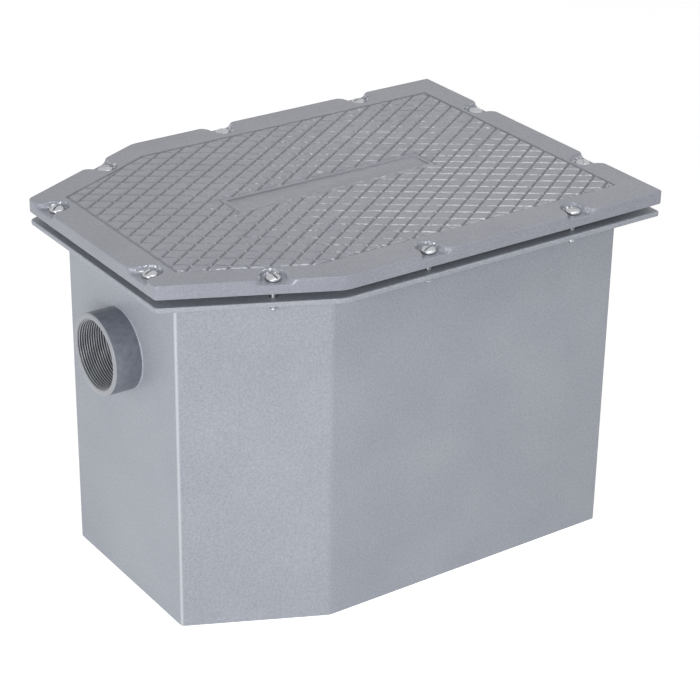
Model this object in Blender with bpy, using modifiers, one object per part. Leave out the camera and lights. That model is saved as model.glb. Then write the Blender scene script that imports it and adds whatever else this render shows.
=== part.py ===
"""Grease interceptor: a folded steel tank under a cast-iron tread cover.

Metres, +Z up. X runs from the inlet end to the outlet end, and the origin is on the ground
under the middle of the cover. In plan the tank is an oblong whose two inlet corners are cut off.
"""

import itertools
import math

import bmesh
import bpy
from mathutils import Matrix, Vector

# Seats and clearances
SEAT = 0.0003
SCREW_HOLE_PLAY = 0.00075
BAFFLE_PLAY = 0.0005
GASKET_TO_SCREW = 0.005
RECESS_TO_GASKET = 0.003

# Tank, outside sizes in plan and the height to the underside of the top flange
TANK_LENGTH = 0.586
TANK_WIDTH = 0.410
TANK_HEIGHT = 0.438
INLET_END_WIDTH = 0.254
CORNER_CUT_LENGTH = 0.164
WALL = 0.0034
FOLD_RADIUS = 0.005
BOTTOM_THICKNESS = 0.0048

# Top flange; its radii, like the cover's, are at the inlet corners, the cut-off corners and
# the outlet corners
FLANGE_OVERHANG = 0.037
FLANGE_LEDGE = 0.012
FLANGE_THICKNESS = 0.006
FLANGE_RADII = (0.006, 0.030, 0.004)

# Gasket
GASKET_WIDTH = 0.022
GASKET_THICKNESS = 0.0098

# Cast cover
COVER_OVERHANG = 0.038
COVER_THICKNESS = 0.0175
COVER_RADII = (0.006, 0.030, 0.004)
COVER_TOP_ROUND = 0.0022
COVER_BOTTOM_ROUND = 0.0008
COVER_WEB = 0.009
RIB_WIDTH = 0.009
RIB_STATIONS = (-0.105, 0.075)
RIB_DRAFT = 0.002

# Tread: crossing V grooves, a boundary groove, and a bare sunk band in the middle
TREAD_PITCH_X = 0.0360
TREAD_PITCH_Y = 0.0246
TREAD_CENTRE_X = 0.004
GROOVE_WIDTH = 0.0032
GROOVE_DEPTH = 0.0020
EDGE_GROOVE_WIDTH = 0.0034
EDGE_GROOVE_DEPTH = 0.0022
FIELD_INLET_MARGIN = 0.0410
FIELD_OUTLET_MARGIN = 0.0385
FIELD_CUT_MARGIN = 0.0375
FIELD_SIDE_MARGIN = 0.0465
BAND_LENGTH = 0.290
BAND_WIDTH = 0.046
BAND_RIM = 0.0032
BAND_DEPTH = 0.0015
BAND_DRAFT = 0.0010

# Cover screws: slotted round heads in pockets that open to the cover's edge
SCREW_DIAMETER = 0.0095
SCREW_LENGTH = 0.038
SCREW_POINT = 0.0012
HEAD_DIAMETER = 0.0185
HEAD_HEIGHT = 0.0056
HEAD_RIM = 0.0016
SLOT_WIDTH = 0.0024
SLOT_DEPTH = 0.0028
SCREW_EDGE_DISTANCE = 0.017
END_SCREW_SPACING = 0.222
SCREW_FROM_TANK_END = 0.090
SIDE_SCREW_AFTER_CUT = 0.117
SLOT_ANGLES = (20, 90, 18, 146, 53, 35, 160, 56, 8, 128)
POCKET_RADIUS = 0.0132
POCKET_FLARE = 0.0024
POCKET_DEPTH = 0.0065

# Pipe couplings
COUPLING_RADIUS = 0.0508
COUPLING_BORE_RADIUS = 0.0423
COUPLING_MOUTH_RADIUS = 0.0454
COUPLING_LENGTH = 0.052
COUPLING_PROJECTION = 0.0365
COUPLING_CHAMFER = 0.0012
COUPLING_DROP = 0.1137

# Inlet hood
HOOD_WIDTH = 0.150
HOOD_REACH = 0.070
HOOD_SHEET = 0.003
HOOD_ABOVE_INLET = 0.075
HOOD_BELOW_INLET = 0.165
HOOD_FOLD_RADIUS = 0.006

# Removable baffles and their guides
BAFFLE_THICKNESS = 0.003
BAFFLE_HEIGHT = 0.355
SLOTTED_BAFFLE_FROM_INLET_END = 0.181
UNDERFLOW_BAFFLE_TO_TRAP = 0.120
GUIDE_SHEET = 0.0025
GUIDE_DEPTH = 0.014
GUIDE_ABOVE_BAFFLE = 0.010
BAFFLE_SLOT_COUNT = 9
BAFFLE_SLOT_PITCH = 0.036
BAFFLE_SLOT_WIDTH = 0.014
BAFFLE_SLOT_HEIGHT = 0.110
BAFFLE_SLOT_FOOT = 0.070
BAFFLE_FOOT_WIDTH = 0.040
UNDERFLOW_HEIGHT = 0.060
GRIP_HOLE_WIDTH = 0.070
GRIP_HOLE_HEIGHT = 0.026
GRIP_HOLE_DROP = 0.022

# Outlet trap
TRAP_DEPTH = 0.088
TRAP_SHEET = 0.0034
TRAP_FOOT = 0.060
TRAP_ABOVE_OUTLET = 0.006
CLEANOUT_FROM_OUTLET_END = 0.045
CLEANOUT_OFFSET = -0.090
COLLAR_RADIUS = 0.030
COLLAR_BORE_RADIUS = 0.0245
COLLAR_HEIGHT = 0.024
COLLAR_BELOW_PLATE = 0.006
PLUG_PLAY = 0.0004
PLUG_LENGTH = 0.018
PLUG_FLANGE_HEIGHT = 0.004
PLUG_HEAD_SIZE = 0.022
PLUG_HEAD_HEIGHT = 0.012
VENT_OFFSET = 0.100
VENT_RADIUS = 0.0106
VENT_WALL = 0.0026
VENT_BEND = 0.026
VENT_BELOW_PLATE = 0.010
VENT_RUN = 0.110
VENT_TOP_DROP = 0.016

# Facets
CORNER_STEPS = 3
SCREW_SIDES = 14
HOLE_SIDES = 14
POCKET_SIDES = 20
PIPE_SIDES = 40
COLLAR_SIDES = 28
BEND_STEPS = 5
HEAD_STEPS = 4
WELD = 1e-6
CUT_THROUGH = 0.002

# Levels and stations that follow from the sizes above
FLANGE_TOP = TANK_HEIGHT + FLANGE_THICKNESS
GASKET_BOTTOM = FLANGE_TOP + SEAT
COVER_BOTTOM = GASKET_BOTTOM + GASKET_THICKNESS + SEAT
COVER_TOP = COVER_BOTTOM + COVER_THICKNESS
PIPE_LEVEL = TANK_HEIGHT - COUPLING_DROP
FLOOR_LEVEL = BOTTOM_THICKNESS + SEAT
TRAP_TOP = PIPE_LEVEL + COUPLING_RADIUS + TRAP_ABOVE_OUTLET
SCREW_LINE = COVER_OVERHANG - SCREW_EDGE_DISTANCE
GASKET_OUTER = SCREW_LINE - SCREW_DIAMETER / 2 - GASKET_TO_SCREW
CUT_SCREW_STATION = SCREW_FROM_TANK_END - TANK_LENGTH / 2
SIDE_SCREW_STATIONS = (
    CORNER_CUT_LENGTH - TANK_LENGTH / 2 + SIDE_SCREW_AFTER_CUT,
    TANK_LENGTH / 2 - SCREW_FROM_TANK_END,
)
TRAP_STATION = TANK_LENGTH / 2 - TRAP_DEPTH
CLEANOUT_STATION = TANK_LENGTH / 2 - CLEANOUT_FROM_OUTLET_END
SLOTTED_BAFFLE_STATION = SLOTTED_BAFFLE_FROM_INLET_END - TANK_LENGTH / 2
UNDERFLOW_BAFFLE_STATION = TRAP_STATION - UNDERFLOW_BAFFLE_TO_TRAP
INNER_HALF_WIDTH = TANK_WIDTH / 2 - WALL - SEAT
INNER_HALF_LENGTH = TANK_LENGTH / 2 - WALL - SEAT

TANK_PLAN = [
    Vector((-TANK_LENGTH / 2, INLET_END_WIDTH / 2)),
    Vector((-TANK_LENGTH / 2, -INLET_END_WIDTH / 2)),
    Vector((CORNER_CUT_LENGTH - TANK_LENGTH / 2, -TANK_WIDTH / 2)),
    Vector((TANK_LENGTH / 2, -TANK_WIDTH / 2)),
    Vector((TANK_LENGTH / 2, TANK_WIDTH / 2)),
    Vector((CORNER_CUT_LENGTH - TANK_LENGTH / 2, TANK_WIDTH / 2)),
]
FIELD_MARGINS = (
    FIELD_INLET_MARGIN,
    FIELD_CUT_MARGIN,
    FIELD_SIDE_MARGIN,
    FIELD_OUTLET_MARGIN,
    FIELD_SIDE_MARGIN,
    FIELD_CUT_MARGIN,
)


def moved_edges(corners, distances):
    """A convex outline, anticlockwise, with each edge moved outwards by its own distance."""
    count = len(corners)
    lines = []
    for i in range(count):
        along = (corners[(i + 1) % count] - corners[i]).normalized()
        outward = Vector((along.y, -along.x))
        lines.append((corners[i] + outward * distances[i], along))
    moved = []
    for i in range(count):
        (start, along), (other, across) = lines[i - 1], lines[i]
        reach = (other - start).cross(across) / along.cross(across)
        moved.append(start + along * reach)
    return moved


def offset_plan(distance):
    """The tank's plan with every edge moved outwards by the same distance."""
    return moved_edges(TANK_PLAN, [distance] * len(TANK_PLAN))


def rounded(corners, radii, steps=CORNER_STEPS):
    """The outline with each corner replaced by an arc; radii holds one radius per corner."""
    count = len(corners)
    points = []
    for i, (corner, radius) in enumerate(zip(corners, radii)):
        back = (corners[i - 1] - corner).normalized()
        ahead = (corners[(i + 1) % count] - corner).normalized()
        half_angle = back.angle(ahead) / 2
        centre = corner + (back + ahead).normalized() * (radius / math.sin(half_angle))
        start = corner + back * (radius / math.tan(half_angle)) - centre
        turn = -start.angle_signed(corner + ahead * (radius / math.tan(half_angle)) - centre)
        for step in range(steps + 1):
            points.append(centre + Matrix.Rotation(turn * step / steps, 2) @ start)
    return points


def alike(radius):
    """The same radius at every corner."""
    return itertools.repeat(radius)


def plan_radii(radii):
    """Radii at the plan's corners, from those at the inlet, at the cut-off corners and the outlet."""
    inlet, cut, outlet = radii
    return (inlet, inlet, cut, outlet, outlet, cut)


def rectangle(low, high):
    """An upright rectangle's corners, anticlockwise."""
    return [Vector(low), Vector((high[0], low[1])), Vector(high), Vector((low[0], high[1]))]


def collection(name):
    made = bpy.data.collections.new(name)
    bpy.context.scene.collection.children.link(made)
    return made


def finish(name, colour, metallic, roughness):
    """A plain surface for one kind of piece; colour is linear red, green and blue."""
    material = bpy.data.materials.new(name)
    material.use_nodes = True
    shader = material.node_tree.nodes["Principled BSDF"]
    shader.inputs["Base Color"].default_value = (*colour, 1)
    shader.inputs["Metallic"].default_value = metallic
    shader.inputs["Roughness"].default_value = roughness
    return material


def object_of(name, data, material=None):
    made = bpy.data.objects.new(name, data)
    if material:
        data.materials.clear()
        data.materials.append(material)
        PARTS.objects.link(made)
        made.parent = TRAP
    else:
        CUTTERS.objects.link(made)
        made.hide_render = True
        made.display_type = "WIRE"
    return made


def object_from_bmesh(name, bm, material=None):
    bmesh.ops.recalc_face_normals(bm, faces=bm.faces)
    mesh = bpy.data.meshes.new(name)
    bm.to_mesh(mesh)
    bm.free()
    return object_of(name, mesh, material)


def evaluated_mesh(made, name):
    """The mesh that the object's modifiers or curve settings make, with its caps joined on."""
    bpy.context.view_layer.update()
    graph = bpy.context.evaluated_depsgraph_get()
    mesh = bpy.data.meshes.new_from_object(made.evaluated_get(graph))
    mesh.name = name
    bm = bmesh.new()
    bm.from_mesh(mesh)
    bmesh.ops.remove_doubles(bm, verts=bm.verts, dist=WELD)
    bm.to_mesh(mesh)
    bm.free()
    return mesh


def plate(name, outlines, low, high, material=None, turn=None):
    """A flat plate from a filled 2D curve; the outlines after the first are its holes.

    turn takes the curve's own X, Y and Z to the plate's directions, for a plate that stands up.
    """
    curve = bpy.data.curves.new(name, "CURVE")
    curve.dimensions = "2D"
    curve.fill_mode = "BOTH"
    curve.extrude = (high - low) / 2
    for outline in outlines:
        spline = curve.splines.new("POLY")
        spline.points.add(len(outline) - 1)
        spline.use_cyclic_u = True
        for point, place in zip(spline.points, outline):
            point.co = (place.x, place.y, 0, 1)
    drawn = bpy.data.objects.new(name + "_outline", curve)
    bpy.context.scene.collection.objects.link(drawn)
    mesh = evaluated_mesh(drawn, name)
    bpy.data.objects.remove(drawn)
    mesh.transform(Matrix.Translation((0, 0, (high + low) / 2)))
    if turn:
        mesh.transform(turn)
    return object_of(name, mesh, material)


def folded_sheet(name, path, closed, low, high, thickness, material):
    """Sheet folded along an upright path, with its thickness on the path's left side."""
    bm = bmesh.new()
    foot = [bm.verts.new((point.x, point.y, low)) for point in path]
    pairs = list(zip(foot, foot[1:] + foot[:1]))
    edges = [bm.edges.new(pair) for pair in (pairs if closed else pairs[:-1])]
    grown = bmesh.ops.extrude_edge_only(bm, edges=edges)["geom"]
    bmesh.ops.translate(
        bm, verts=[item for item in grown if isinstance(item, bmesh.types.BMVert)], vec=(0, 0, high - low)
    )
    mesh = bpy.data.meshes.new(name)
    bm.to_mesh(mesh)
    bm.free()
    made = object_of(name, mesh, material)
    solidify = made.modifiers.new("sheet", "SOLIDIFY")
    solidify.thickness = thickness
    solidify.offset = 1
    solidify.use_even_offset = True
    return made


def turned(name, profile, sides, closed, material=None):
    """A turned piece: the profile, given as (radius, height) from the top down, spun about Z."""
    mesh = bpy.data.meshes.new(name)
    count = len(profile)
    edges = [(i, i + 1) for i in range(count - 1)] + ([(count - 1, 0)] if closed else [])
    mesh.from_pydata([(radius, 0, height) for radius, height in profile], edges, [])
    made = object_of(name, mesh, material)
    screw = made.modifiers.new("turning", "SCREW")
    screw.angle = 2 * math.pi
    screw.steps = sides
    screw.render_steps = sides
    screw.use_merge_vertices = True
    screw.merge_threshold = WELD
    screw.use_smooth_shade = False
    return made


def block(name, low, high, material=None):
    bm = bmesh.new()
    bmesh.ops.create_cube(bm, size=1)
    size = [b - a for a, b in zip(low, high)]
    centre = [(a + b) / 2 for a, b in zip(low, high)]
    bmesh.ops.scale(bm, vec=size, verts=bm.verts)
    bmesh.ops.translate(bm, vec=centre, verts=bm.verts)
    return object_from_bmesh(name, bm, material)


def rod(name, radius, length, sides, axis="Z"):
    """A cylinder centred on its own origin, used for cutting holes."""
    bm = bmesh.new()
    bmesh.ops.create_cone(
        bm, cap_ends=True, segments=sides, radius1=radius, radius2=radius, depth=length
    )
    if axis == "X":
        bmesh.ops.rotate(bm, matrix=Matrix.Rotation(math.pi / 2, 3, "Y"), verts=bm.verts)
    return object_from_bmesh(name, bm)


def combine(made, other, operation="DIFFERENCE"):
    boolean = made.modifiers.new(other.name, "BOOLEAN")
    boolean.operation = operation
    boolean.object = other
    boolean.solver = "EXACT"
    return boolean


def shade_round(made, degrees=35):
    made.data.shade_smooth()
    made.data.set_sharp_from_angle(angle=math.radians(degrees))


def ring_between(name, outlines):
    """A closed ring whose section has one corner on each outline, all with as many points."""
    bm = bmesh.new()
    loops = []
    for outline, level in outlines:
        loop = [bm.verts.new((point.x, point.y, level)) for point in outline]
        loops.append([bm.edges.new(pair) for pair in zip(loop, loop[1:] + loop[:1])])
    for near, far in zip(loops, loops[1:] + loops[:1]):
        bmesh.ops.bridge_loops(bm, edges=near + far)
    return object_from_bmesh(name, bm)


def tapered_prism(name, low_outline, low, high_outline, high):
    """A solid between two flat outlines with as many points, such as a pocket with draft."""
    bm = bmesh.new()
    loops = []
    for outline, level in ((low_outline, low), (high_outline, high)):
        verts = [bm.verts.new((point.x, point.y, level)) for point in outline]
        loops.append(bm.faces.new(verts).edges[:])
    bmesh.ops.bridge_loops(bm, edges=loops[0] + loops[1])
    return object_from_bmesh(name, bm)


def screw_places():
    """Where the ten cover screws stand, each with the outward direction of its pocket."""
    end_line = TANK_LENGTH / 2 + SCREW_LINE
    side_line = TANK_WIDTH / 2 + SCREW_LINE
    cut_start, cut_end = offset_plan(SCREW_LINE)[1:3]
    cut = (cut_end - cut_start).normalized()
    cut_y = cut_start.y + (CUT_SCREW_STATION - cut_start.x) * cut.y / cut.x
    places = []
    for hand in (-1, 1):
        places.append(((-end_line, hand * END_SCREW_SPACING / 2), (-1, 0)))
        places.append(((CUT_SCREW_STATION, -hand * cut_y), (cut.y, -hand * -cut.x)))
        for station in SIDE_SCREW_STATIONS:
            places.append(((station, hand * side_line), (0, hand)))
        places.append(((end_line, hand * END_SCREW_SPACING / 2), (1, 0)))
    return [(Vector(place), Vector(outward)) for place, outward in places]


def make_tank():
    wall = folded_sheet(
        "shell_wall",
        rounded(TANK_PLAN, alike(FOLD_RADIUS)),
        True,
        0,
        TANK_HEIGHT - SEAT,
        WALL,
        finish("hammertone_wall", (0.36, 0.38, 0.42), 0.1, 0.45),
    )
    pipe_line = rod("pipe_line", COUPLING_RADIUS + SEAT, TANK_LENGTH + 2 * WALL, PIPE_SIDES, "X")
    pipe_line.location = (0, 0, PIPE_LEVEL)
    combine(wall, pipe_line)
    plate(
        "bottom_plate",
        [rounded(offset_plan(-WALL - SEAT), alike(FOLD_RADIUS))],
        0,
        BOTTOM_THICKNESS,
        finish("hammertone_bottom", (0.34, 0.36, 0.40), 0.1, 0.5),
    )


def make_flange():
    outer = rounded(offset_plan(FLANGE_OVERHANG), plan_radii(FLANGE_RADII))
    inner = rounded(offset_plan(-WALL - FLANGE_LEDGE), alike(FLANGE_LEDGE))
    flange = plate(
        "top_flange",
        [outer, inner],
        TANK_HEIGHT,
        FLANGE_TOP,
        finish("hammertone_flange", (0.36, 0.38, 0.42), 0.1, 0.45),
    )
    tapped = drilled_holes("tapped_holes", SCREW_DIAMETER / 2 + SEAT, TANK_HEIGHT, FLANGE_TOP)
    combine(flange, tapped)


def drilled_holes(name, radius, low, high):
    """One cutter with a hole at every cover screw, running past both faces."""
    bm = bmesh.new()
    for place, _ in screw_places():
        bmesh.ops.create_cone(
            bm,
            cap_ends=True,
            segments=HOLE_SIDES,
            radius1=radius,
            radius2=radius,
            depth=high - low + 2 * CUT_THROUGH,
            matrix=Matrix.Translation((place.x, place.y, (low + high) / 2)),
        )
    return object_from_bmesh(name, bm)


def make_gasket():
    plate(
        "cover_gasket",
        [
            rounded(offset_plan(GASKET_OUTER), alike(GASKET_WIDTH)),
            rounded(offset_plan(GASKET_OUTER - GASKET_WIDTH), alike(FOLD_RADIUS)),
        ],
        GASKET_BOTTOM,
        GASKET_BOTTOM + GASKET_THICKNESS,
        finish("rubber_gasket", (0.02, 0.02, 0.022), 0, 0.8),
    )


def cover_blank(material):
    """The cover before its tread: the outline raised to its thickness, with soft edges."""
    bm = bmesh.new()
    outline = rounded(offset_plan(COVER_OVERHANG), plan_radii(COVER_RADII))
    base = bm.faces.new([bm.verts.new((point.x, point.y, COVER_BOTTOM)) for point in outline])
    raised = bmesh.ops.extrude_face_region(bm, geom=[base])["geom"]
    top = [item for item in raised if isinstance(item, bmesh.types.BMVert)]
    bmesh.ops.translate(bm, verts=top, vec=(0, 0, COVER_THICKNESS))
    for level, size, steps in (
        (COVER_TOP, COVER_TOP_ROUND, 3),
        (COVER_BOTTOM, COVER_BOTTOM_ROUND, 1),
    ):
        rim = [e for e in bm.edges if all(abs(v.co.z - level) < WELD for v in e.verts)]
        bmesh.ops.bevel(
            bm, geom=rim, offset=size, offset_type="OFFSET", segments=steps, profile=0.5, affect="EDGES"
        )
    return object_from_bmesh("cover", bm, material)


def underside_pockets():
    """The hollows between the cover's ribs, as tapered blocks reaching up to the web."""
    depth = COVER_THICKNESS - COVER_WEB
    bm = bmesh.new()
    outline = offset_plan(GASKET_OUTER - GASKET_WIDTH - RECESS_TO_GASKET + RIB_WIDTH / 2)
    bm.faces.new([bm.verts.new((point.x, point.y, COVER_BOTTOM + depth)) for point in outline])
    cuts = [((station, 0, 0), (1, 0, 0)) for station in RIB_STATIONS] + [((0, 0, 0), (0, 1, 0))]
    for place, normal in cuts:
        everything = bm.verts[:] + bm.edges[:] + bm.faces[:]
        bmesh.ops.bisect_plane(bm, geom=everything, plane_co=place, plane_no=normal)
    cells = bm.faces[:]
    bmesh.ops.inset_individual(bm, faces=cells, thickness=RIB_WIDTH / 2 + RIB_DRAFT)
    roofs = [[v.co.copy() for v in cell.verts] for cell in cells]
    bm.free()
    pockets = bmesh.new()
    for roof in roofs:
        flat = [point.xy for point in roof]
        if signed_area(flat) < 0:
            flat.reverse()
        reach = RIB_DRAFT * (depth + CUT_THROUGH) / depth
        mouth = moved_edges(flat, [reach] * len(flat))
        loops = []
        for outline, level in ((mouth, COVER_BOTTOM - CUT_THROUGH), (flat, COVER_BOTTOM + depth)):
            verts = [pockets.verts.new((point.x, point.y, level)) for point in outline]
            loops.append(pockets.faces.new(verts).edges[:])
        bmesh.ops.bridge_loops(pockets, edges=loops[0] + loops[1])
    return object_from_bmesh("underside_pockets", pockets)


def signed_area(outline):
    return sum(a.cross(b) for a, b in zip(outline, outline[1:] + outline[:1])) / 2


def field_outline(extra=0):
    """The tread's outer line, moved outwards by extra."""
    return moved_edges(TANK_PLAN, [COVER_OVERHANG - margin + extra for margin in FIELD_MARGINS])


def band_outline(extra=0):
    """The bare band's outer line, moved outwards by extra."""
    half_length, half_width = BAND_LENGTH / 2 + extra, BAND_WIDTH / 2 + extra
    return rectangle(
        (TREAD_CENTRE_X - half_length, -half_width), (TREAD_CENTRE_X + half_length, half_width)
    )


def groove_bars(hand, field):
    """All grooves of one direction, as V bars trimmed to the field; hand is 1 or -1."""
    slope = math.atan2(TREAD_PITCH_Y, TREAD_PITCH_X)
    spacing = TREAD_PITCH_Y * math.cos(slope)
    across = Vector((math.sin(slope), -hand * math.cos(slope)))
    centre = Vector((TREAD_CENTRE_X, 0))
    reaches = [(corner - centre).dot(across) for corner in field_outline()]
    length = TANK_LENGTH + 2 * TANK_WIDTH
    top = CUT_THROUGH / 2
    half_width = GROOVE_WIDTH / 2 * (GROOVE_DEPTH + top) / GROOVE_DEPTH
    bm = bmesh.new()
    for count in range(math.floor(min(reaches) / spacing), math.ceil(max(reaches) / spacing)):
        place = centre + across * (count + 0.5) * spacing
        bar = bmesh.ops.create_cube(bm, size=1)["verts"]
        bmesh.ops.scale(bm, vec=(length, 2 * half_width, GROOVE_DEPTH + top), verts=bar)
        for vert in bar:
            if vert.co.z < 0:
                vert.co.y = 0
        bmesh.ops.rotate(bm, matrix=Matrix.Rotation(hand * slope, 3, "Z"), verts=bar)
        level = COVER_TOP + (top - GROOVE_DEPTH) / 2
        bmesh.ops.translate(bm, vec=(place.x, place.y, level), verts=bar)
    bmesh.ops.remove_doubles(bm, verts=bm.verts, dist=WELD)
    bars = object_from_bmesh("grooves_left" if hand < 0 else "grooves_right", bm)
    combine(bars, field, "INTERSECT")
    return bars


def edge_groove(name, outline):
    """A V groove along a closed line; outline gives the line moved outwards by a distance."""
    top = CUT_THROUGH / 2
    reach = EDGE_GROOVE_WIDTH / 2 * (EDGE_GROOVE_DEPTH + top) / EDGE_GROOVE_DEPTH
    return ring_between(
        name,
        [
            (outline(reach), COVER_TOP + top),
            (outline(0), COVER_TOP - EDGE_GROOVE_DEPTH),
            (outline(-reach), COVER_TOP + top),
        ],
    )


def screw_pockets():
    """A round-ended pocket with draft at every screw, open to the cover's edge."""
    height = POCKET_DEPTH + CUT_THROUGH
    flare = POCKET_FLARE * height / POCKET_DEPTH
    reach = SCREW_EDGE_DISTANCE + POCKET_RADIUS
    bm = bmesh.new()
    for place, outward in screw_places():
        verts = []
        for distance in (0, reach):
            spot = place + outward * distance
            level = COVER_TOP - POCKET_DEPTH + height / 2
            verts += bmesh.ops.create_cone(
                bm,
                cap_ends=True,
                segments=POCKET_SIDES,
                radius1=POCKET_RADIUS,
                radius2=POCKET_RADIUS + flare,
                depth=height,
                matrix=Matrix.Translation((spot.x, spot.y, level)),
            )["verts"]
        hull = bmesh.ops.convex_hull(bm, input=verts)
        spare = {item for key in ("geom_interior", "geom_unused") for item in hull[key]}
        bmesh.ops.delete(bm, geom=[v for v in spare if isinstance(v, bmesh.types.BMVert)], context="VERTS")
    bmesh.ops.dissolve_limit(bm, angle_limit=0.001, verts=bm.verts, edges=bm.edges)
    return object_from_bmesh("screw_pockets", bm)


def make_cover():
    cover = cover_blank(finish("painted_cast_iron", (0.31, 0.32, 0.35), 0.1, 0.5))
    combine(cover, underside_pockets())
    field = plate(
        "tread_field",
        [field_outline(), band_outline()],
        COVER_TOP - GROOVE_DEPTH - CUT_THROUGH,
        COVER_TOP + CUT_THROUGH,
    )
    for hand in (-1, 1):
        combine(cover, groove_bars(hand, field))
    combine(cover, edge_groove("field_groove", field_outline))
    combine(cover, edge_groove("band_groove", band_outline))
    floor = band_outline(-BAND_RIM - EDGE_GROOVE_WIDTH / 2 - BAND_DRAFT)
    mouth = band_outline(-BAND_RIM - EDGE_GROOVE_WIDTH / 2 + BAND_DRAFT * CUT_THROUGH / BAND_DEPTH)
    combine(
        cover,
        tapered_prism("band_floor", floor, COVER_TOP - BAND_DEPTH, mouth, COVER_TOP + CUT_THROUGH),
    )
    combine(cover, screw_pockets())
    hole_radius = SCREW_DIAMETER / 2 + SCREW_HOLE_PLAY
    combine(cover, drilled_holes("cover_holes", hole_radius, COVER_BOTTOM, COVER_TOP))


def screw_mesh(material):
    """One slotted round-head screw, its origin on the axis under the head."""
    head, shank = HEAD_DIAMETER / 2, SCREW_DIAMETER / 2
    dome = []
    for step in range(HEAD_STEPS + 1):
        angle = math.pi / 2 * step / HEAD_STEPS
        height = HEAD_RIM + (HEAD_HEIGHT - HEAD_RIM) * math.cos(angle)
        dome.append((head * math.sin(angle), height))
    profile = dome + [
        (head, 0),
        (shank, 0),
        (shank, SCREW_POINT - SCREW_LENGTH),
        (shank - SCREW_POINT, -SCREW_LENGTH),
        (0, -SCREW_LENGTH),
    ]
    blank = turned("screw_blank", profile, SCREW_SIDES, False)
    slot = block(
        "screw_slot",
        (-HEAD_DIAMETER, -SLOT_WIDTH / 2, HEAD_HEIGHT - SLOT_DEPTH),
        (HEAD_DIAMETER, SLOT_WIDTH / 2, HEAD_HEIGHT + CUT_THROUGH),
    )
    combine(blank, slot)
    mesh = evaluated_mesh(blank, "cover_screw")
    mesh.materials.clear()
    mesh.materials.append(material)
    mesh.shade_smooth()
    mesh.set_sharp_from_angle(angle=math.radians(35))
    return mesh


def make_screws():
    mesh = screw_mesh(finish("zinc_screw", (0.70, 0.71, 0.72), 1, 0.28))
    level = COVER_TOP - POCKET_DEPTH + SEAT
    for number, ((place, _), angle) in enumerate(zip(screw_places(), SLOT_ANGLES), 1):
        screw = bpy.data.objects.new(f"cover_screw_{number:02d}", mesh)
        PARTS.objects.link(screw)
        screw.parent = TRAP
        screw.location = (place.x, place.y, level)
        screw.rotation_euler.z = math.radians(angle)


def make_coupling(name, hand):
    """A threaded pipe coupling through an end wall; hand is -1 at the inlet, 1 at the outlet."""
    outer, inner = COUPLING_PROJECTION, COUPLING_PROJECTION - COUPLING_LENGTH
    edge = COUPLING_CHAMFER
    lead = COUPLING_MOUTH_RADIUS - COUPLING_BORE_RADIUS
    profile = [
        (COUPLING_MOUTH_RADIUS, outer),
        (COUPLING_RADIUS - edge, outer),
        (COUPLING_RADIUS, outer - edge),
        (COUPLING_RADIUS, inner + edge),
        (COUPLING_RADIUS - edge, inner),
        (COUPLING_BORE_RADIUS, inner),
        (COUPLING_BORE_RADIUS, outer - lead),
    ]
    coupling = turned(name, profile, PIPE_SIDES, True, finish(name, (0.16, 0.17, 0.19), 0.4, 0.45))
    coupling.rotation_euler = (0, hand * math.pi / 2, 0)
    coupling.location = (hand * TANK_LENGTH / 2, 0, PIPE_LEVEL)


def upright(station):
    """Stands a flat plate up across the tank: its X becomes Y, its Y becomes Z."""
    return Matrix(((0, 0, 1, station), (1, 0, 0, 0), (0, 1, 0, 0), (0, 0, 0, 1)))


def make_inlet_hood():
    start = -INNER_HALF_LENGTH
    corners = [
        Vector((start, -HOOD_WIDTH / 2)),
        Vector((start + HOOD_REACH, -HOOD_WIDTH / 2)),
        Vector((start + HOOD_REACH, HOOD_WIDTH / 2)),
        Vector((start, HOOD_WIDTH / 2)),
    ]
    bends = rounded(corners, alike(HOOD_FOLD_RADIUS))[CORNER_STEPS + 1 : -CORNER_STEPS - 1]
    folded_sheet(
        "inlet_hood",
        [corners[0]] + bends + [corners[3]],
        False,
        PIPE_LEVEL - HOOD_BELOW_INLET,
        PIPE_LEVEL + HOOD_ABOVE_INLET,
        HOOD_SHEET,
        finish("steel_hood", (0.33, 0.34, 0.36), 0.3, 0.5),
    )


def make_guide(name, station, hand):
    """A folded channel standing on the floor against a side wall; its slot holds a baffle's edge."""
    wall = INNER_HALF_WIDTH
    slot = BAFFLE_THICKNESS / 2 + BAFFLE_PLAY
    outer = slot + GUIDE_SHEET
    section = [
        (-outer, wall),
        (-outer, wall - GUIDE_DEPTH),
        (-slot, wall - GUIDE_DEPTH),
        (-slot, wall - GUIDE_SHEET),
        (slot, wall - GUIDE_SHEET),
        (slot, wall - GUIDE_DEPTH),
        (outer, wall - GUIDE_DEPTH),
        (outer, wall),
    ]
    plate(
        name,
        [[Vector((station + x, hand * y)) for x, y in section]],
        FLOOR_LEVEL,
        FLOOR_LEVEL + BAFFLE_HEIGHT + GUIDE_ABOVE_BAFFLE,
        finish(name, (0.33, 0.34, 0.36), 0.3, 0.5),
    )


def make_baffle(name, station, openings, notch_height):
    """A removable plate that drops into two guides; openings are outlines in Y and Z."""
    half = INNER_HALF_WIDTH - GUIDE_SHEET - BAFFLE_PLAY
    foot, top = FLOOR_LEVEL, FLOOR_LEVEL + BAFFLE_HEIGHT
    step = half - BAFFLE_FOOT_WIDTH
    outline = [Vector(place) for place in ((-half, foot), (-step, foot))]
    outline += [Vector(place) for place in ((-step, foot + notch_height), (step, foot + notch_height))]
    outline += [Vector(place) for place in ((step, foot), (half, foot), (half, top), (-half, top))]
    grip = GRIP_HOLE_WIDTH / 2
    grip_top = top - GRIP_HOLE_DROP
    grip_hole = rectangle((-grip, grip_top - GRIP_HOLE_HEIGHT), (grip, grip_top))
    plate(
        name,
        [outline, grip_hole] + openings,
        -BAFFLE_THICKNESS / 2,
        BAFFLE_THICKNESS / 2,
        finish(name, (0.33, 0.34, 0.36), 0.3, 0.5),
        upright(station),
    )


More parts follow.
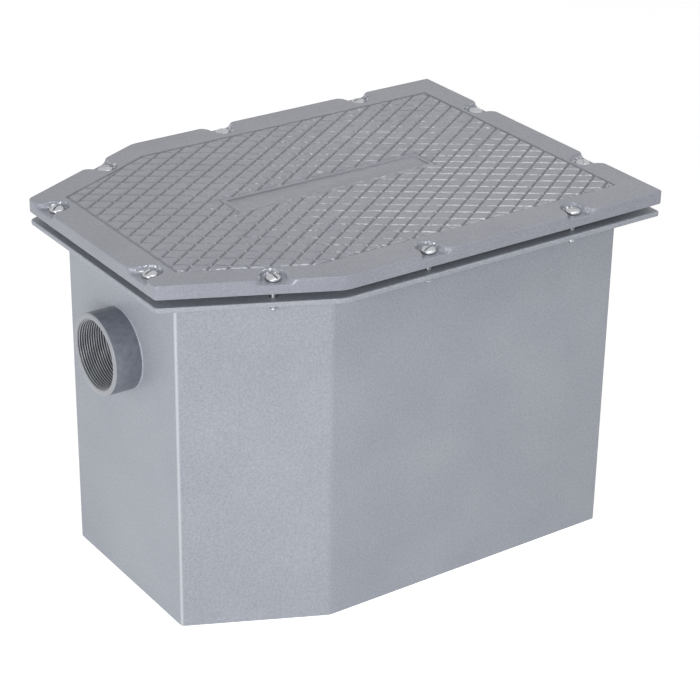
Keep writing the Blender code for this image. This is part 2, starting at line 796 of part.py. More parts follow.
def make_baffles():
    slots = []
    for count in range(BAFFLE_SLOT_COUNT):
        middle = (count - (BAFFLE_SLOT_COUNT - 1) / 2) * BAFFLE_SLOT_PITCH
        low = FLOOR_LEVEL + BAFFLE_SLOT_FOOT
        slots.append(
            rectangle(
                (middle - BAFFLE_SLOT_WIDTH / 2, low),
                (middle + BAFFLE_SLOT_WIDTH / 2, low + BAFFLE_SLOT_HEIGHT),
            )
        )
    stations = {"slotted": SLOTTED_BAFFLE_STATION, "underflow": UNDERFLOW_BAFFLE_STATION}
    make_baffle("slotted_baffle", stations["slotted"], slots, UNDERFLOW_HEIGHT / 2)
    make_baffle("underflow_baffle", stations["underflow"], [], UNDERFLOW_HEIGHT)
    for kind, station in stations.items():
        for side, hand in (("front", -1), ("back", 1)):
            make_guide(f"{kind}_guide_{side}", station, hand)


def make_outlet_trap():
    half = INNER_HALF_WIDTH
    sheet = TRAP_SHEET / 2
    steel = finish("steel_trap", (0.33, 0.34, 0.36), 0.3, 0.5)
    block(
        "trap_partition",
        (TRAP_STATION - sheet, -half, TRAP_FOOT),
        (TRAP_STATION + sheet, half, TRAP_TOP - SEAT),
        steel,
    )
    near = TRAP_STATION - sheet
    tank_inside = rounded(offset_plan(-WALL - SEAT), alike(FOLD_RADIUS))
    outlet_corners = [point for point in tank_inside if point.x > near]
    roof = plate(
        "trap_roof",
        [[Vector((near, -half))] + outlet_corners + [Vector((near, half))]],
        TRAP_TOP,
        TRAP_TOP + TRAP_SHEET,
        finish("steel_trap_roof", (0.33, 0.34, 0.36), 0.3, 0.5),
    )
    for name, radius, place in (
        ("cleanout_hole", COLLAR_RADIUS, (CLEANOUT_STATION, CLEANOUT_OFFSET)),
        ("vent_hole", VENT_RADIUS, (CLEANOUT_STATION, VENT_OFFSET)),
    ):
        hole = rod(name, radius + SEAT, TRAP_SHEET + 2 * CUT_THROUGH, COLLAR_SIDES)
        hole.location = (*place, TRAP_TOP + TRAP_SHEET / 2)
        combine(roof, hole)
    make_cleanout()
    make_vent()


def make_cleanout():
    low = TRAP_TOP - COLLAR_BELOW_PLATE
    high = low + COLLAR_HEIGHT
    collar = turned(
        "cleanout_collar",
        [
            (COLLAR_BORE_RADIUS, high),
            (COLLAR_RADIUS, high),
            (COLLAR_RADIUS, low),
            (COLLAR_BORE_RADIUS, low),
        ],
        COLLAR_SIDES,
        True,
        finish("steel_collar", (0.30, 0.31, 0.33), 0.3, 0.5),
    )
    collar.location = (CLEANOUT_STATION, CLEANOUT_OFFSET, 0)
    seat = high + SEAT
    radius = COLLAR_BORE_RADIUS - PLUG_PLAY
    plug = turned(
        "cleanout_plug",
        [
            (0, seat + PLUG_FLANGE_HEIGHT),
            (COLLAR_RADIUS, seat + PLUG_FLANGE_HEIGHT),
            (COLLAR_RADIUS, seat),
            (radius, seat),
            (radius, seat - PLUG_LENGTH),
            (0, seat - PLUG_LENGTH),
        ],
        COLLAR_SIDES,
        False,
        finish("brass_plug", (0.62, 0.44, 0.18), 1, 0.3),
    )
    plug.location = collar.location
    half = PLUG_HEAD_SIZE / 2
    top = seat + PLUG_FLANGE_HEIGHT
    key = block("plug_key", (-half, -half, top - CUT_THROUGH), (half, half, top + PLUG_HEAD_HEIGHT))
    key.location = collar.location
    combine(plug, key, "UNION")


def make_vent():
    """The air-relief pipe: up through the trap's roof, round a bend, and back over the tank."""
    foot = TRAP_TOP - VENT_BELOW_PLATE
    level = TANK_HEIGHT - VENT_TOP_DROP
    bend = min(VENT_BEND, level - TRAP_TOP - TRAP_SHEET - SEAT)
    path = [Vector((CLEANOUT_STATION, VENT_OFFSET, foot))]
    for step in range(BEND_STEPS + 1):
        angle = math.pi / 2 * step / BEND_STEPS
        path.append(
            Vector(
                (
                    CLEANOUT_STATION - bend * (1 - math.cos(angle)),
                    VENT_OFFSET,
                    level - bend * (1 - math.sin(angle)),
                )
            )
        )
    path.append(Vector((CLEANOUT_STATION - VENT_RUN, VENT_OFFSET, level)))
    curve = bpy.data.curves.new("air_relief_pipe", "CURVE")
    curve.dimensions = "3D"
    curve.bevel_depth = VENT_RADIUS
    curve.bevel_resolution = 3
    spline = curve.splines.new("POLY")
    spline.points.add(len(path) - 1)
    for point, place in zip(spline.points, path):
        point.co = (*place, 1)
    drawn = bpy.data.objects.new("air_relief_route", curve)
    bpy.context.scene.collection.objects.link(drawn)
    mesh = evaluated_mesh(drawn, "air_relief_pipe")
    bpy.data.objects.remove(drawn)
    pipe = object_of("air_relief_pipe", mesh, finish("steel_vent", (0.33, 0.34, 0.36), 0.3, 0.45))
    solidify = pipe.modifiers.new("pipe_wall", "SOLIDIFY")
    solidify.thickness = VENT_WALL
    solidify.offset = -1


for old in list(bpy.data.objects):
    bpy.data.objects.remove(old)
PARTS = collection("grease_trap")
CUTTERS = collection("cutters")
CUTTERS.hide_render = True
TRAP = bpy.data.objects.new("grease_trap_origin", None)
PARTS.objects.link(TRAP)

make_tank()
make_flange()
make_gasket()
make_cover()
make_screws()
make_coupling("inlet_coupling", -1)
make_coupling("outlet_coupling", 1)
make_inlet_hood()
make_baffles()
make_outlet_trap()
for made in PARTS.objects:
    if made.type == "MESH" and not made.name.startswith("cover_screw"):
        shade_round(made)
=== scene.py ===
"""Looks of a grease trap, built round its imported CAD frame.

Metres, +Z up. +X runs from the inlet to the outlet, and the long side in front faces -Y.
"""

import math

import bmesh
import bpy
import numpy as np
from mathutils import Matrix, Vector

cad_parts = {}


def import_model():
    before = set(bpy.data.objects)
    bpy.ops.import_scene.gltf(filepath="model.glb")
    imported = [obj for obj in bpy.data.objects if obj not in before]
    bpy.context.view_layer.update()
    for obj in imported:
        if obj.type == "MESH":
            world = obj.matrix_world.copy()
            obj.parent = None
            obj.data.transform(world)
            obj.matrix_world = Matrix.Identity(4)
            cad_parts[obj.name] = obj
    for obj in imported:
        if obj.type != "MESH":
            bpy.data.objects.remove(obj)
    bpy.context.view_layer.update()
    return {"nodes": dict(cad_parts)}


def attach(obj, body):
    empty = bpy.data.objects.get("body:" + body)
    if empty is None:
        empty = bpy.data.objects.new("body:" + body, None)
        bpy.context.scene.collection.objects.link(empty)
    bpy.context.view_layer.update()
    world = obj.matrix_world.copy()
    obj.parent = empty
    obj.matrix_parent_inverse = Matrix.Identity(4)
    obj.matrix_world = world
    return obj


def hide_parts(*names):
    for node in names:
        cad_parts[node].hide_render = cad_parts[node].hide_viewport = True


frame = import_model()


# Camera: a long lens in front of the inlet end's cut corner, looking down on the cover. The place
# and the turn were solved from the edges of the tank in the photograph.
view_azimuth, view_elevation, view_roll = (math.radians(a) for a in (-34.94, 26.43, 0.91))
view_distance = 2.7954
aim = Vector((0, 0, 0.219))
aim_right, aim_up = 0.03135, 0.0204

towards_camera = Vector(
    (
        math.sin(view_azimuth) * math.cos(view_elevation),
        -math.cos(view_azimuth) * math.cos(view_elevation),
        math.sin(view_elevation),
    )
)
level_right = Vector((math.cos(view_azimuth), math.sin(view_azimuth), 0))
level_up = towards_camera.cross(level_right)
right = math.cos(view_roll) * level_right + math.sin(view_roll) * level_up
up = math.cos(view_roll) * level_up - math.sin(view_roll) * level_right
camera = bpy.data.objects.new("camera", bpy.data.cameras.new("camera"))
bpy.context.scene.collection.objects.link(camera)
camera.data.lens = 112.48
camera.data.sensor_width = 36
camera.matrix_world = Matrix((right, up, towards_camera)).transposed().to_4x4()
camera.location = aim + view_distance * towards_camera + aim_right * right + aim_up * up
bpy.context.scene.camera = camera
bpy.context.scene.view_settings.view_transform = "Standard"


# Floor and light: seamless white paper in a pale room. A large soft lamp off the inlet end lights
# that end and the cut corner, and the glints in the tread are two small panels overhead.
def linear(code):
    """An sRGB hex colour as linear red, green, blue and alpha."""
    parts = np.array([int(code[i : i + 2], 16) for i in (1, 3, 5)]) / 255
    return (*np.where(parts <= 0.04045, parts / 12.92, ((parts + 0.055) / 1.055) ** 2.4), 1)


def add(tree, kind, inputs=None, **settings):
    """Adds a node; inputs gives values or other nodes' sockets, settings the node's own options."""
    made = tree.nodes.new("ShaderNode" + kind)
    for name, value in settings.items():
        setattr(made, name, value)
    for name, value in (inputs or {}).items():
        if isinstance(value, bpy.types.NodeSocket):
            tree.links.new(value, made.inputs[name])
        else:
            made.inputs[name].default_value = value
    return made


def new_finish(name, colour, metallic, roughness):
    """A Principled material; returns it with its node tree and its shader."""
    material = bpy.data.materials.new(name)
    material.use_nodes = True
    shader = material.node_tree.nodes["Principled BSDF"]
    shader.inputs["Base Color"].default_value = linear(colour)
    shader.inputs["Metallic"].default_value = metallic
    shader.inputs["Roughness"].default_value = roughness
    return material, material.node_tree, shader


def seen_directly(tree):
    """1 for rays from the camera and for those that gloss or glass sends on, else 0."""
    ray = add(tree, "LightPath").outputs
    either = add(tree, "Math", {0: ray["Is Camera Ray"], 1: ray["Is Glossy Ray"]}, operation="MAXIMUM")
    with_glass = {0: either.outputs[0], 1: ray["Is Transmission Ray"]}
    return add(tree, "Math", with_glass, operation="MAXIMUM").outputs[0]


square = np.array([(-1, -1), (1, -1), (1, 1), (-1, 1)])
floor_half, paper_glow = 9.0, 0.74
paper, tree, shader = new_finish("seamless_white_paper", "#e6e6e6", 0, 0.9)
shader.inputs["Specular IOR Level"].default_value = 0
shader.inputs["Emission Color"].default_value = (1, 1, 1, 1)
glow = add(tree, "MapRange", {"Value": seen_directly(tree), "To Max": paper_glow})
tree.links.new(glow.outputs["Result"], shader.inputs["Emission Strength"])
floor_mesh = bpy.data.meshes.new("floor")
floor_corners = np.column_stack([square * floor_half, np.zeros(4)])
floor_mesh.from_pydata(floor_corners.tolist(), [], [(0, 1, 2, 3)])
floor_mesh.materials.append(paper)
floor = bpy.data.objects.new("floor", floor_mesh)
bpy.context.scene.collection.objects.link(floor)

# The room is as bright as its walls from below up to eye level and dark at the ceiling, and it
# falls off towards the right of the picture.
wall_light, ceiling_light, far_side_light = 1.03, 0.0, 0.60
sky = bpy.data.worlds.new("studio")
sky.use_nodes = True
bpy.context.scene.world = sky
tree = sky.node_tree
direction = add(tree, "TexCoord").outputs["Generated"]
heading = add(tree, "SeparateXYZ", {"Vector": direction})
room = add(
    tree,
    "MapRange",
    {"Value": heading.outputs["Z"], "To Min": wall_light, "To Max": ceiling_light},
)
sideways = add(tree, "VectorMath", {0: direction, 1: level_right}, operation="DOT_PRODUCT")
fall = add(
    tree,
    "MapRange",
    {"Value": sideways.outputs["Value"], "From Min": -1, "To Min": 1.0, "To Max": far_side_light},
)
dimmed = add(tree, "Math", {0: room.outputs["Result"], 1: fall.outputs["Result"]}, operation="MULTIPLY")
strength = add(tree, "Mix", {"Factor": seen_directly(tree), "A": dimmed.outputs[0], "B": 1.0})
background = tree.nodes["Background"]
background.inputs["Color"].default_value = (1, 1, 1, 1)
tree.links.new(strength.outputs["Result"], background.inputs["Strength"])


# Each lamp is a rectangle that faces its target and lies with its width along a direction.
for name, place, target, along, width, height, power in (
    ("key_softbox", (-2.4, -2.0, 1.05), (0, 0, 0.2), (1, 0, 0), 1.4, 1.4, 52),
    ("overhead_panel", (-0.032, -0.710, 1.78), (0.0, -0.1, 0.47), level_right, 0.80, 0.34, 5.4),
    ("overhead_end", (1.150, -0.852, 1.78), (0.1, -0.1, 0.47), level_right, 0.60, 0.30, 2.6),
):
    back = (Vector(place) - Vector(target)).normalized()
    side = (Vector(along) - Vector(along).dot(back) * back).normalized()
    lamp = bpy.data.lights.new(name, "AREA")
    lamp.shape = "RECTANGLE"
    lamp.size, lamp.size_y = width, height
    lamp.energy = power
    made = bpy.data.objects.new(name, lamp)
    bpy.context.scene.collection.objects.link(made)
    made.matrix_world = Matrix((side, back.cross(side), back)).transposed().to_4x4()
    made.location = place


# Tank: one length of mild steel sheet, folded round the six corners of the plan and welded to its
# flange and bottom, then sprayed with hammertone enamel.
merged_within, collapsed_within = 2e-6, 1e-6


def grid_quads(rows, columns, closed_rows=False, closed_columns=False):
    """Quads of a grid of points numbered row by row; a closed direction joins last to first."""
    row, column = np.meshgrid(
        np.arange(rows if closed_rows else rows - 1),
        np.arange(columns if closed_columns else columns - 1),
        indexing="ij",
    )
    next_row, next_column = (row + 1) % rows, (column + 1) % columns
    corners = [
        row * columns + column,
        row * columns + next_column,
        next_row * columns + next_column,
        next_row * columns + column,
    ]
    return np.stack(corners, axis=-1).reshape(-1, 4)


def mesh_from(name, points, faces):
    """A mesh with its doubles merged, its collapsed faces gone and its faces outwards."""
    mesh = bpy.data.meshes.new(name)
    mesh.from_pydata(np.asarray(points).reshape(-1, 3).tolist(), [], [list(face) for face in faces])
    bm = bmesh.new()
    bm.from_mesh(mesh)
    bmesh.ops.remove_doubles(bm, verts=bm.verts, dist=merged_within)
    bmesh.ops.dissolve_degenerate(bm, edges=bm.edges, dist=collapsed_within)
    bmesh.ops.recalc_face_normals(bm, faces=bm.faces)
    bm.to_mesh(mesh)
    bm.free()
    return mesh


def points_of(mesh):
    """The mesh's points as an array, one row of x, y and z for each."""
    flat = np.empty(len(mesh.vertices) * 3)
    mesh.vertices.foreach_get("co", flat)
    return flat.reshape(-1, 3)


def record(mesh, name, values):
    """Keeps a number for each point as an attribute that a material can read."""
    kept = mesh.attributes.new(name, "FLOAT", "POINT")
    kept.data.foreach_set("value", values.astype(np.float32))


def piece(mesh, material, slot, *nodes, sharp=35):
    """Puts a finished mesh in the scene for the CAD nodes it stands for, riding on the trap."""
    mesh.materials.clear()
    mesh.materials.append(material)
    mesh.shade_smooth()
    mesh.set_sharp_from_angle(angle=math.radians(sharp))
    made = bpy.data.objects.new(mesh.name, mesh)
    bpy.context.scene.collection.objects.link(made)
    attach(made, "root")
    if nodes:
        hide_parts(*nodes)
    return made


def dress(node, material):
    """Gives a CAD node that stays as it is its finish."""
    for slot in frame["nodes"][node].material_slots:
        slot.material = material


# seat is the room between pieces that touch or are welded on the real trap.
tank_length, tank_width, tank_height = 0.586, 0.410, 0.438
inlet_end_width, corner_cut = 0.254, 0.164
wall_thickness, seat = 0.0034, 0.0003
plan = np.array(
    [
        (-tank_length / 2, inlet_end_width / 2),
        (-tank_length / 2, -inlet_end_width / 2),
        (corner_cut - tank_length / 2, -tank_width / 2),
        (tank_length / 2, -tank_width / 2),
        (tank_length / 2, tank_width / 2),
        (corner_cut - tank_length / 2, tank_width / 2),
    ]
)
plan_along = np.roll(plan, -1, axis=0) - plan
plan_along /= np.linalg.norm(plan_along, axis=1, keepdims=True)
plan_outward = np.stack([plan_along[:, 1], -plan_along[:, 0]], axis=1)


def outline(out, radii, steps):
    """The plan's outline moved outwards, with an arc at each corner.

    out is one distance, or one for each edge; radii are those at the inlet, the cut and the
    outlet corners. Two edges moved outwards meet where the point's distances along
    both normals are right, and the arc's points are its centre plus the radius times the cosine
    and sine of an angle that runs from one edge's normal to the next's.
    """
    reach = np.broadcast_to(out, 6)
    at_inlet, at_cut, at_outlet = radii
    radius = np.array([at_inlet, at_inlet, at_cut, at_outlet, at_outlet, at_cut])
    before = np.roll(plan_outward, 1, axis=0)
    both = np.stack([before, plan_outward], axis=1)
    wanted = np.stack([np.roll(reach, 1), reach], axis=1) - radius[:, None]
    centre = plan + np.linalg.solve(both, wanted[..., None])[..., 0]
    start = np.arctan2(before[:, 1], before[:, 0])
    turn = (np.arctan2(plan_outward[:, 1], plan_outward[:, 0]) - start) % (2 * np.pi)
    angle = start[:, None] + turn[:, None] * np.linspace(0, 1, steps + 1)
    arc = np.stack([np.cos(angle), np.sin(angle)], axis=-1)
    return (centre[:, None] + radius[:, None, None] * arc).reshape(-1, 2)


def carried(name, section, radii, steps):
    """A section of (distance outwards, height) points carried round the outline, closed both ways.

    radii are those of the outline at distance 0. An arc moved outwards grows by the distance, or
    by the mean of the edges' distances, and one that would shrink past nothing is a sharp corner.
    """
    loops = []
    for out, height in section:
        grown = np.maximum(np.array(radii) + np.mean(out), 0)
        flat = outline(out, grown, steps)
        loops.append(np.column_stack([flat, np.full(len(flat), height)]))
    points = np.array(loops)
    return mesh_from(name, points, grid_quads(*points.shape[:2], closed_rows=True, closed_columns=True))


def rod(name, radius, low, high, sides, centre, axis="Z"):
    """A round bar about an axis through centre, from low to high along it.

    Its section runs out to the radius, along and back to the axis, and each point is spun: the
    radius times the cosine and sine of the angle, and the height along the axis.
    """
    reach, height = np.array([(0, low), (radius, low), (radius, high), (0, high)], dtype=float).T
    angle = 2 * np.pi * np.arange(sides) / sides
    spun = [reach[:, None] * np.cos(angle), reach[:, None] * np.sin(angle)]
    along = np.broadcast_to(height[:, None], spun[0].shape)
    points = np.stack([*spun, along] if axis == "Z" else [along, *spun], axis=-1) + np.array(centre)
    return mesh_from(name, points, grid_quads(len(reach), sides, closed_rows=True, closed_columns=True))


def cut_by(mesh, *cutters, bevel=None):
    """The mesh with the cutter meshes taken out of it, and its sharp edges rounded if asked."""
    made = bpy.data.objects.new(mesh.name, mesh)
    bpy.context.scene.collection.objects.link(made)
    helpers = [made]
    for cutter in cutters:
        helper = bpy.data.objects.new(cutter.name, cutter)
        bpy.context.scene.collection.objects.link(helper)
        cut = made.modifiers.new(cutter.name, "BOOLEAN")
        cut.operation, cut.solver, cut.object = "DIFFERENCE", "EXACT", helper
        helpers.append(helper)
    if bevel:
        softened = made.modifiers.new("softened", "BEVEL")
        softened.width, softened.segments = bevel, 2
        softened.limit_method, softened.angle_limit = "ANGLE", math.radians(30)
    bpy.context.view_layer.update()
    result = bpy.data.meshes.new_from_object(made.evaluated_get(bpy.context.evaluated_depsgraph_get()))
    result.name = made.name
    for helper in helpers:
        bpy.data.objects.remove(helper)
    return result


pipe_drop, pipe_radius, pipe_sides = 0.1137, 0.0508, 96
pipe_level = tank_height - pipe_drop
fold_radii, fold_steps = (0.005, 0.018, 0.005), 14
wall_top = tank_height - seat
edge_break = 0.0005
wall_section = [
    (-edge_break, 0),
    (0, edge_break),
    (0, wall_top),
    (-wall_thickness, wall_top),
    (-wall_thickness, 0),
]
wall_mesh = carried("tank_wall", wall_section, fold_radii, fold_steps)
hole_reach = 0.02
holes = [
    rod(
        f"pipe_hole_{hand}",
        pipe_radius + seat,
        -hole_reach,
        hole_reach,
        pipe_sides,
        (hand * tank_length / 2, 0, pipe_level),
        axis="X",
    )
    for hand in (-1, 1)
]
wall_mesh = cut_by(wall_mesh, *holes)

# On the two inlet folds a paler colour is painted in as a highlight, and the attribute records where:
# 1 in the middle of the fold, 0 where its arc meets the flat sheet.
spots = points_of(wall_mesh)
half_turn = math.acos(float(plan_outward[0] @ plan_outward[1])) / 2
nearest = fold_radii[0] * (1 / math.cos(half_turn) - 1)
farthest = fold_radii[0] * math.tan(half_turn)
from_fold = np.hypot(spots[:, 0] - plan[0, 0], np.abs(spots[:, 1]) - plan[0, 1])
record(wall_mesh, "painted_fold_highlight", np.clip((farthest - from_fold) / (farthest - nearest), 0, 1))

# Hammertone enamel: a grey paint that draws itself into dimples as it dries, so the sheet glitters
# finely where the light grazes it. The dimples are 3.5 mm wide, the ripples in them 2.4 mm, and
# the coat sags over 110 mm. On the inlet folds a paler colour is painted in as a highlight.
dimple_scale, ripple_scale, sag_scale = 290, 420, 9
enamel, tree, shader = new_finish("hammertone_enamel", "#a4abb5", 0, 0.42)
place = add(tree, "TexCoord")
dimple = add(
    tree,
    "TexVoronoi",
    {"Vector": place.outputs["Object"], "Scale": dimple_scale, "Smoothness": 0.6},
    feature="SMOOTH_F1",
)
ripple = add(tree, "TexNoise", {"Vector": place.outputs["Object"], "Scale": ripple_scale, "Detail": 2})
sag = add(tree, "TexNoise", {"Vector": place.outputs["Object"], "Scale": sag_scale, "Detail": 3})
tone = add(tree, "ValToRGB", {"Fac": ripple.outputs["Fac"]})
dark, pale = tone.color_ramp.elements
dark.position, pale.position = 0.32, 0.68
dark.color, pale.color = linear("#9ca1aa"), linear("#afb3bb")
drift = add(tree, "ValToRGB", {"Fac": sag.outputs["Fac"]})
dark, pale = drift.color_ramp.elements
dark.position, pale.position = 0.3, 0.7
dark.color, pale.color = linear("#f3f4f6"), linear("#ffffff")
colour = add(
    tree,
    "Mix",
    {"Factor": 1.0, 6: tone.outputs["Color"], 7: drift.outputs["Color"]},
    data_type="RGBA",
    blend_type="MULTIPLY",
)
# painted highlight: a paler colour mixed in along the two inlet folds
fold = add(tree, "Attribute", attribute_name="painted_fold_highlight", attribute_type="GEOMETRY")
bright = add(tree, "Math", {0: fold.outputs["Fac"], 1: 0.75}, operation="MULTIPLY")
fold_highlight_colour = add(
    tree,
    "Mix",
    {"Factor": bright.outputs[0], 6: colour.outputs[2], 7: linear("#d2d5da")},
    data_type="RGBA",
)
tree.links.new(fold_highlight_colour.outputs[2], shader.inputs["Base Color"])
waves = add(tree, "Bump", {"Height": sag.outputs["Fac"], "Strength": 0.25, "Distance": 0.0012})
dimples = add(
    tree,
    "Bump",
    {
        "Height": dimple.outputs["Distance"],
        "Strength": 0.35,
        "Distance": 0.0004,
        "Normal": waves.outputs["Normal"],
    },
)
grain = add(
    tree,
    "Bump",
    {
        "Height": ripple.outputs["Fac"],
        "Strength": 0.3,
        "Distance": 0.0003,
        "Normal": dimples.outputs["Normal"],
    },
)
tree.links.new(grain.outputs["Normal"], shader.inputs["Normal"])
piece(wall_mesh, enamel, "painted_steel", "shell_wall")
dress("bottom_plate", enamel)


# Top flange: a 6 mm steel plate ring welded round the mouth of the tank and painted with it. Ten
# tapped holes take the cover screws, which stand on a line inside the cover's edge.
cover_out, screw_inset = 0.038, 0.017
end_screw_half, screw_from_end, screw_after_cut = 0.111, 0.090, 0.117
screw_line = cover_out - screw_inset
end_x, side_y = tank_length / 2 + screw_line, tank_width / 2 + screw_line
cut_x = screw_from_end - tank_length / 2
cut_start = plan[1] + plan_outward[1] * screw_line
cut_y = cut_start[1] + (cut_x - cut_start[0]) * plan_along[1][1] / plan_along[1][0]
front_screws = [
    ((-end_x, -end_screw_half), (-1, 0)),
    ((cut_x, cut_y), plan_outward[1]),
    ((corner_cut - tank_length / 2 + screw_after_cut, -side_y), (0, -1)),
    ((tank_length / 2 - screw_from_end, -side_y), (0, -1)),
    ((end_x, -end_screw_half), (1, 0)),
]
# Each screw's place and outward direction, front first and from the inlet end on.
back_screws = [((x, -y), (u, -v)) for (x, y), (u, v) in front_screws]
screws = [(np.array(at), np.array(out)) for at, out in front_screws + back_screws]

flange_out, flange_ledge, flange_thickness = 0.037, 0.012, 0.006
flange_top = tank_height + flange_thickness
rim_radii, rim_steps = np.array([0.006, 0.030, 0.004]), 8
screw_radius, tapped_sides, cut_through = 0.00475, 28, 0.002
soft = 0.0009
bend = np.radians([0, 30, 60, 90])
flange_section = [
    (-wall_thickness - flange_ledge, flange_top),
    (-wall_thickness - flange_ledge, tank_height),
]
flange_section += [
    (flange_out - soft + soft * math.sin(a), tank_height + soft - soft * math.cos(a)) for a in bend
]
flange_section += [(flange_out, flange_top - soft), (flange_out - soft, flange_top)]
flange_mesh = carried("flange_plate", flange_section, rim_radii - flange_out, rim_steps)
tapped = [
    rod(
        f"tapped_{number}",
        screw_radius + seat,
        tank_height - cut_through,
        flange_top + cut_through,
        tapped_sides,
        (*at, 0),
    )
    for number, (at, _) in enumerate(screws)
]
flange_mesh = cut_by(flange_mesh, *tapped)
piece(flange_mesh, enamel, "painted_steel", "top_flange")


# Gasket: a moulded rubber strip laid on the flange inside the screws; only its dark edge shows in
# the gap under the cover. It has a dull bloom in patches of 8 mm.
bloom_scale = 120
rubber, tree, shader = new_finish("moulded_rubber", "#24262b", 0, 0.75)
place = add(tree, "TexCoord")
bloom = add(tree, "TexNoise", {"Vector": place.outputs["Object"], "Scale": bloom_scale, "Detail": 4})
tone = add(tree, "ValToRGB", {"Fac": bloom.outputs["Fac"]})
dark, pale = tone.color_ramp.elements
dark.color, pale.color = linear("#1d1f23"), linear("#33363c")
tree.links.new(tone.outputs["Color"], shader.inputs["Base Color"])
bumps = add(tree, "Bump", {"Height": bloom.outputs["Fac"], "Strength": 0.4, "Distance": 0.0003})
tree.links.new(bumps.outputs["Normal"], shader.inputs["Normal"])
dress("cover_gasket", rubber)


# Cover: one grey iron casting, sand cast with its tread of crossing grooves, a bare band in the
# middle and ten screw pockets open to the edge, then painted grey. The border comes first.
cover_bottom, cover_top, web = 0.4544, 0.4719, 0.009
rim_top, rim_bottom = 0.0022, 0.0010
inlet_margin, outlet_margin, cut_margin, side_margin = 0.0410, 0.0385, 0.0375, 0.0465
field_out = cover_out - np.array(
    [inlet_margin, cut_margin, side_margin, outlet_margin, side_margin, cut_margin]
)
edge_groove_half, edge_groove_depth = 0.0022, 0.0021
groove_half, groove_depth = 0.0020, 0.0021
groove_root, root_bow = 0.12, 0.06
groove_lines = np.array([0, groove_root, 0.45, 0.94, 1])


def groove_profile(across, half, depth):
    """Depth of a cast groove: a V with a rounded root.

    It is the V's depth, one less the share of the half width, less a bow at the root.
    """
    share = np.clip(np.abs(across) / half, 0, 1)
    return depth * (1 - share - root_bow * np.clip(1 - share / groove_root, 0, 1))


edge_lines = groove_lines * edge_groove_half
edge_levels = cover_top - groove_profile(edge_lines, edge_groove_half, edge_groove_depth)
border_section = [(field_out + across, level) for across, level in zip(edge_lines, edge_levels)]
top_bend, bottom_bend = (np.radians(np.linspace(0, 90, count)) for count in (6, 4))
top_round = rim_top * np.column_stack([np.sin(top_bend) - 1, np.cos(top_bend) - 1])
bottom_round = rim_bottom * np.column_stack([np.cos(bottom_bend) - 1, 1 - np.sin(bottom_bend)])
border_section += [(cover_out + x, cover_top + z) for x, z in top_round]
border_section += [(cover_out + x, cover_bottom + z) for x, z in bottom_round]
border_section.append((field_out, cover_bottom))
border_mesh = carried("cover_border", border_section, rim_radii - cover_out, rim_steps)


# Pockets: a block of the border round each screw is built as one surface and set in where the
# border ring is cut away. The sand rounds all the pocket's edges, and it opens like a trumpet.
pocket_radius, pocket_flare, pocket_depth = 0.0132, 0.0024, 0.0065
floor_fillet, rim_fillet, fillet_steps = 0.0040, 0.0025, 8
block_half, block_back = 0.031, 0.0180
mouth_start, mouth_radius, foot_share = 0.001, 0.0165, 0.25
leg_stations, back_stations = 13, 33
screw_play, shank_sides = 0.00075, 24


def tapered_bar(name, low_corners, high_corners, low, high):
    """A solid between two flat outlines with the same number of corners at two levels."""
    count = len(low_corners)
    points = np.vstack(
        [
            np.column_stack([low_corners, np.full(count, low)]),
            np.column_stack([high_corners, np.full(count, high)]),
        ]
    )
    faces = [list(face) for face in grid_quads(2, count, closed_columns=True)]
    faces += [list(range(count))[::-1], list(range(count, 2 * count))]
    return mesh_from(name, points, faces)


def pocket_rows():
    """The pocket's section: distances from its middle, drops below the top, shares of the flare.

    It runs along the floor, round the lower fillet, up the drafted wall and round the rim.
    """
    steep = math.atan2(pocket_depth, pocket_flare)
    foot = pocket_radius - floor_fillet * math.tan(steep / 2)
    rim = pocket_radius + pocket_flare + rim_fillet * math.tan(steep / 2)
    bend = np.linspace(0, steep, fillet_steps)
    distance = np.concatenate(
        [[0, foot / 2], foot + floor_fillet * np.sin(bend), rim - rim_fillet * np.sin(bend[::-1])]
    )
    drop = np.concatenate(
        [
            [pocket_depth, pocket_depth],
            pocket_depth - floor_fillet * (1 - np.cos(bend)),
            rim_fillet * (1 - np.cos(bend[::-1])),
        ]
    )
    share = np.interp(distance, [0, foot, rim], [0, foot_share, 1])
    return distance, drop, share


